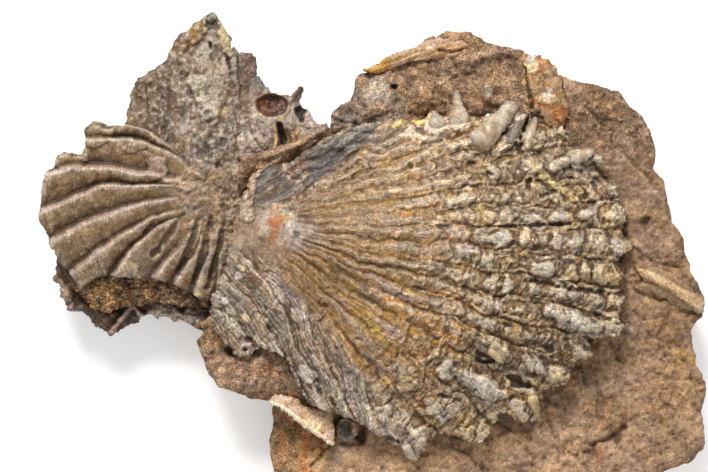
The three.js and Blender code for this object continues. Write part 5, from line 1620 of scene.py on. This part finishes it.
def crust_shell():
    s = Relief("crust_shell", 0.2, 1.8, ragged=0.7, ragged_size=2.0)
    s.reach(0.6, "matrix_rock")
    lumps, _, _ = cells(s.x, s.y, 2.4, 8)
    s.z += 0.8 * (0.5 - lumps) + 0.7 * s.fractal(3, 4, 181) + 0.15 * s.fractal(0.8, 2, 182)
    s.z -= 1.6 * ramp(0, 0.7, s.line([(38.6, 44), (39.6, 40), (40.2, 37)], 1.6, 0.4))
    s.round_edge(1.2, 0.9)
    patch = s.patches(3.4, 4, 183, 3)
    s.paint(1, "tan")
    s.coats(
        1, (0.6, -0.1, 0.4, patch[0], "orange"), (0.6, 0.1, 0.5, patch[1], "sand"),
        (0.6, 0, 0.4, patch[2], "rust"),
    )
    s.stains((
        (40.2, 47.8, 4.4, 6.4, 0, "cream", 1), (39.8, 49, 3, 3, 0, "white", 0.7),
        (43.8, 39.6, 5.4, 6, 0, "cream", 0.9), (44, 40.4, 3, 3.4, 0, "white", 0.6),
        (45.4, 45, 5, 6, 0, "sand", 0.5), (46.6, 35, 5, 5, 0, "orange", 0.7),
        (42, 34.6, 3.5, 4, 0, "umber", 0.7), (47.4, 40, 3, 8, 0, "ochre", 0.6),
        (41.6, 42.6, 4, 3, 0, "ochre", 0.7),
    ), 0.5)
    # Painted shade in hollows and painted highlight on high places.
    near = s.above(0.7)
    s.coats(1, (0.7, 0.05, 0.4, -near, "umber"), (0.4, 0.05, 0.4, near, "cream"))
    s.shade(0.25 * s.noise(0.6, 187))
    s.wear = 0.4 + 0.5 * near
    s.grain[:] = 0.7
    s.finish("crust_shell_worn", "rust_shell", RUST_SHELL,
             rows=5, rough=0.5, rough_size=1.4, wall_tint="rust")


def shell_splinter():
    s = Relief("shell_splinter", 0.2, 1.4, ragged=0.4, ragged_size=1.6)
    s.reach(0.5, "matrix_rock")
    ridge = s.line([(66.4, -4.4), (71, -5.4), (76, -8.4), (82.6, -12.6)], 3.4, 0.2)
    s.z += 1.1 * dome(ridge) + 0.25 * s.fractal(2, 4, 191)
    s.round_edge(0.8, 0.6)
    wave = fractal((s.x - s.y) * 0.2, s.x * 0.6 + s.y, 1.0, 4, 192)
    s.paint(1, "sand")
    s.coats(1, (0.7, 0, 0.5, wave, "cream"), (0.6, 0.1, 0.5, -wave, "ochre"), (0.5, 0.35, 0, ridge, "brown"))
    s.paint(0.7 * s.spot(82, -12.6, 3, 3), "pale")
    # Painted shade in the hollows.
    near = s.above(0.6)
    s.paint(0.6 * ramp(0.05, 0.35, -near), "umber")
    s.shade(0.2 * s.noise(0.6, 193))
    s.wear = 0.5 + 0.5 * near
    s.finish("shell_splinter_worn", "pale_shell", PALE_SHELL,
             rows=4, rough=0.3, rough_size=1.2, wall_tint="brown")


def ribbed_lower_valve():
    s = Relief("ribbed_lower_valve", 0.2, 1.4, ragged=0.4, ragged_size=1.4)
    s.reach(0.5, "matrix_rock")
    lip = s.line([(-25, -36.6), (-22.4, -37.8), (-20, -39.4), (-15.4, -43), (-10, -46.8)], 1.6, 0.25)
    s.z += 0.8 * dome(lip) + 0.4 * s.fractal(2.2, 4, 201)
    s.round_edge(0.7, 0.6)
    patch = s.fractal(3, 4, 202)
    s.paint(1, "sand")
    s.coats(1, (0.6, 0, 0.5, patch, "lilac"), (0.5, 0.1, 0.5, -patch, "tan"))
    s.paint(0.8 * s.spot(-14.6, -42.0, 7, 4.4, -40), "cream")
    s.coats(1, (1, 0.1, 0.5, lip, "cream"), (0.5, 0.4, 0.8, lip, "white"))
    # Painted shade in the hollows, and the whole piece painted lighter: painted light for a piece that lies
    # low and is lit less.
    near = s.above(0.6)
    s.paint(0.6 * ramp(0.05, 0.35, -near), "umber")
    s.shade(0.2 * s.noise(0.6, 203) + 0.3)
    s.wear = 0.5 + 0.5 * near
    s.finish("ribbed_lower_valve_worn", "pale_shell", PALE_SHELL,
             rows=7, inset=0.8, rough=0.9, rough_size=1.6, wall_tint="tan")


def disc_shell():
    s = Relief("disc_shell", 0.16, 1.4, ragged=0.35, ragged_size=1.0)
    s.reach(0.4, "matrix_rock")
    low, high = (np.array(corner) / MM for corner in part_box("disc_shell"))
    middle = (low + high) / 2
    away, turn = polar(middle, s.x, s.y)
    away = away + 0.8 * s.fractal(2.6, 3, 210)
    lip = ramp(-0.3, 0.8, np.cos(np.radians(turn - 50)))
    s.z += (0.2 + 0.9 * lip) * np.exp(-((away - 2.2) / 0.5) ** 2) - 0.9 * ramp(2.0, 0.6, away)
    s.z += 0.5 * s.fractal(1.4, 3, 211)
    s.round_edge(0.5, 0.4)
    s.paint(1, "grey")
    s.coats(1, (0.7, 2.2, 1.4, away, "umber"), (0.7, -0.2, 0.3, s.fractal(1.2, 3, 212), "slate"))
    s.paint(0.9 * ramp(1.5, 2.1, away) * lip, "sand")
    s.shade(0.2 * s.noise(0.5, 213))
    s.finish("disc_shell_worn", "pale_shell", PALE_SHELL,
             rows=4, rough=0.2, rough_size=1.0, wall_tint="brown")


ribbed_valve()
matrix_rock()
oyster_upper()
oyster_lower()
oyster_fill()
cup_oyster()
rim_shell()
crust_shell()
shell_splinter()
ribbed_lower_valve()
disc_shell()


# ---- Floor, light and camera ----
MID_HEIGHT = 0.025  # metres from the floor to the middle of the cluster


def lay_floor():
    floor_mesh = bpy.data.meshes.new("floor")
    half = 1.5  # metres from the middle of the floor to its edges
    corners = [(-half, -half, 0), (half, -half, 0), (half, half, 0), (-half, half, 0)]
    floor_mesh.from_pydata(corners, [], [(0, 1, 2, 3)])
    material = bpy.data.materials.new("floor_pale")
    material.use_nodes = True
    shader = material.node_tree.nodes["Principled BSDF"]
    shader.inputs["Base Color"].default_value = (0.86, 0.86, 0.86, 1)
    shader.inputs["Roughness"].default_value = 0.9
    shader.inputs["Specular IOR Level"].default_value = 0.1
    shader.inputs["Emission Color"].default_value = (1, 1, 1, 1)
    shader.inputs["Emission Strength"].default_value = 0.35
    floor_mesh.materials.append(material)
    floor = bpy.data.objects.new("floor", floor_mesh)
    bpy.context.scene.collection.objects.link(floor)


def light_studio():
    """A key light behind the cluster and a little to the left, a fill light in front, and a pale sky."""
    world = bpy.data.worlds.new("studio")
    bpy.context.scene.world = world
    world.use_nodes = True
    background = world.node_tree.nodes["Background"]
    background.inputs["Color"].default_value = (1.0, 0.99, 0.975, 1)
    background.inputs["Strength"].default_value = 0.45

    target = Vector((0, 0, MID_HEIGHT))
    for name, place, size, power in (
        ("key", (-0.35, 1.45, 1.5), 0.8, 50.0), ("fill", (0.8, -1.2, 1.8), 1.6, 9.0),
    ):
        light = bpy.data.lights.new(name, "AREA")
        light.size = size
        light.energy = power
        lamp = bpy.data.objects.new(name, light)
        lamp.location = place
        lamp.rotation_euler = (target - Vector(place)).to_track_quat("-Z", "Y").to_euler()
        bpy.context.scene.collection.objects.link(lamp)


def aim_camera():
    """Straight down on the cluster, from far enough that it hardly narrows with height."""
    view_width = 0.177  # metres across the picture at mid height
    middle_x, middle_y = -0.00425, 0.005
    data = bpy.data.cameras.new("camera")
    data.lens = 500
    data.sensor_width = 36
    data.clip_end = 10
    viewer = bpy.data.objects.new("camera", data)
    distance = view_width * data.lens / data.sensor_width
    viewer.location = (middle_x, middle_y, MID_HEIGHT + distance)
    bpy.context.scene.collection.objects.link(viewer)
    bpy.context.scene.camera = viewer


lay_floor()
light_studio()
aim_camera()
bpy.context.scene.view_settings.view_transform = "Standard"

bpy.context.view_layer.update()
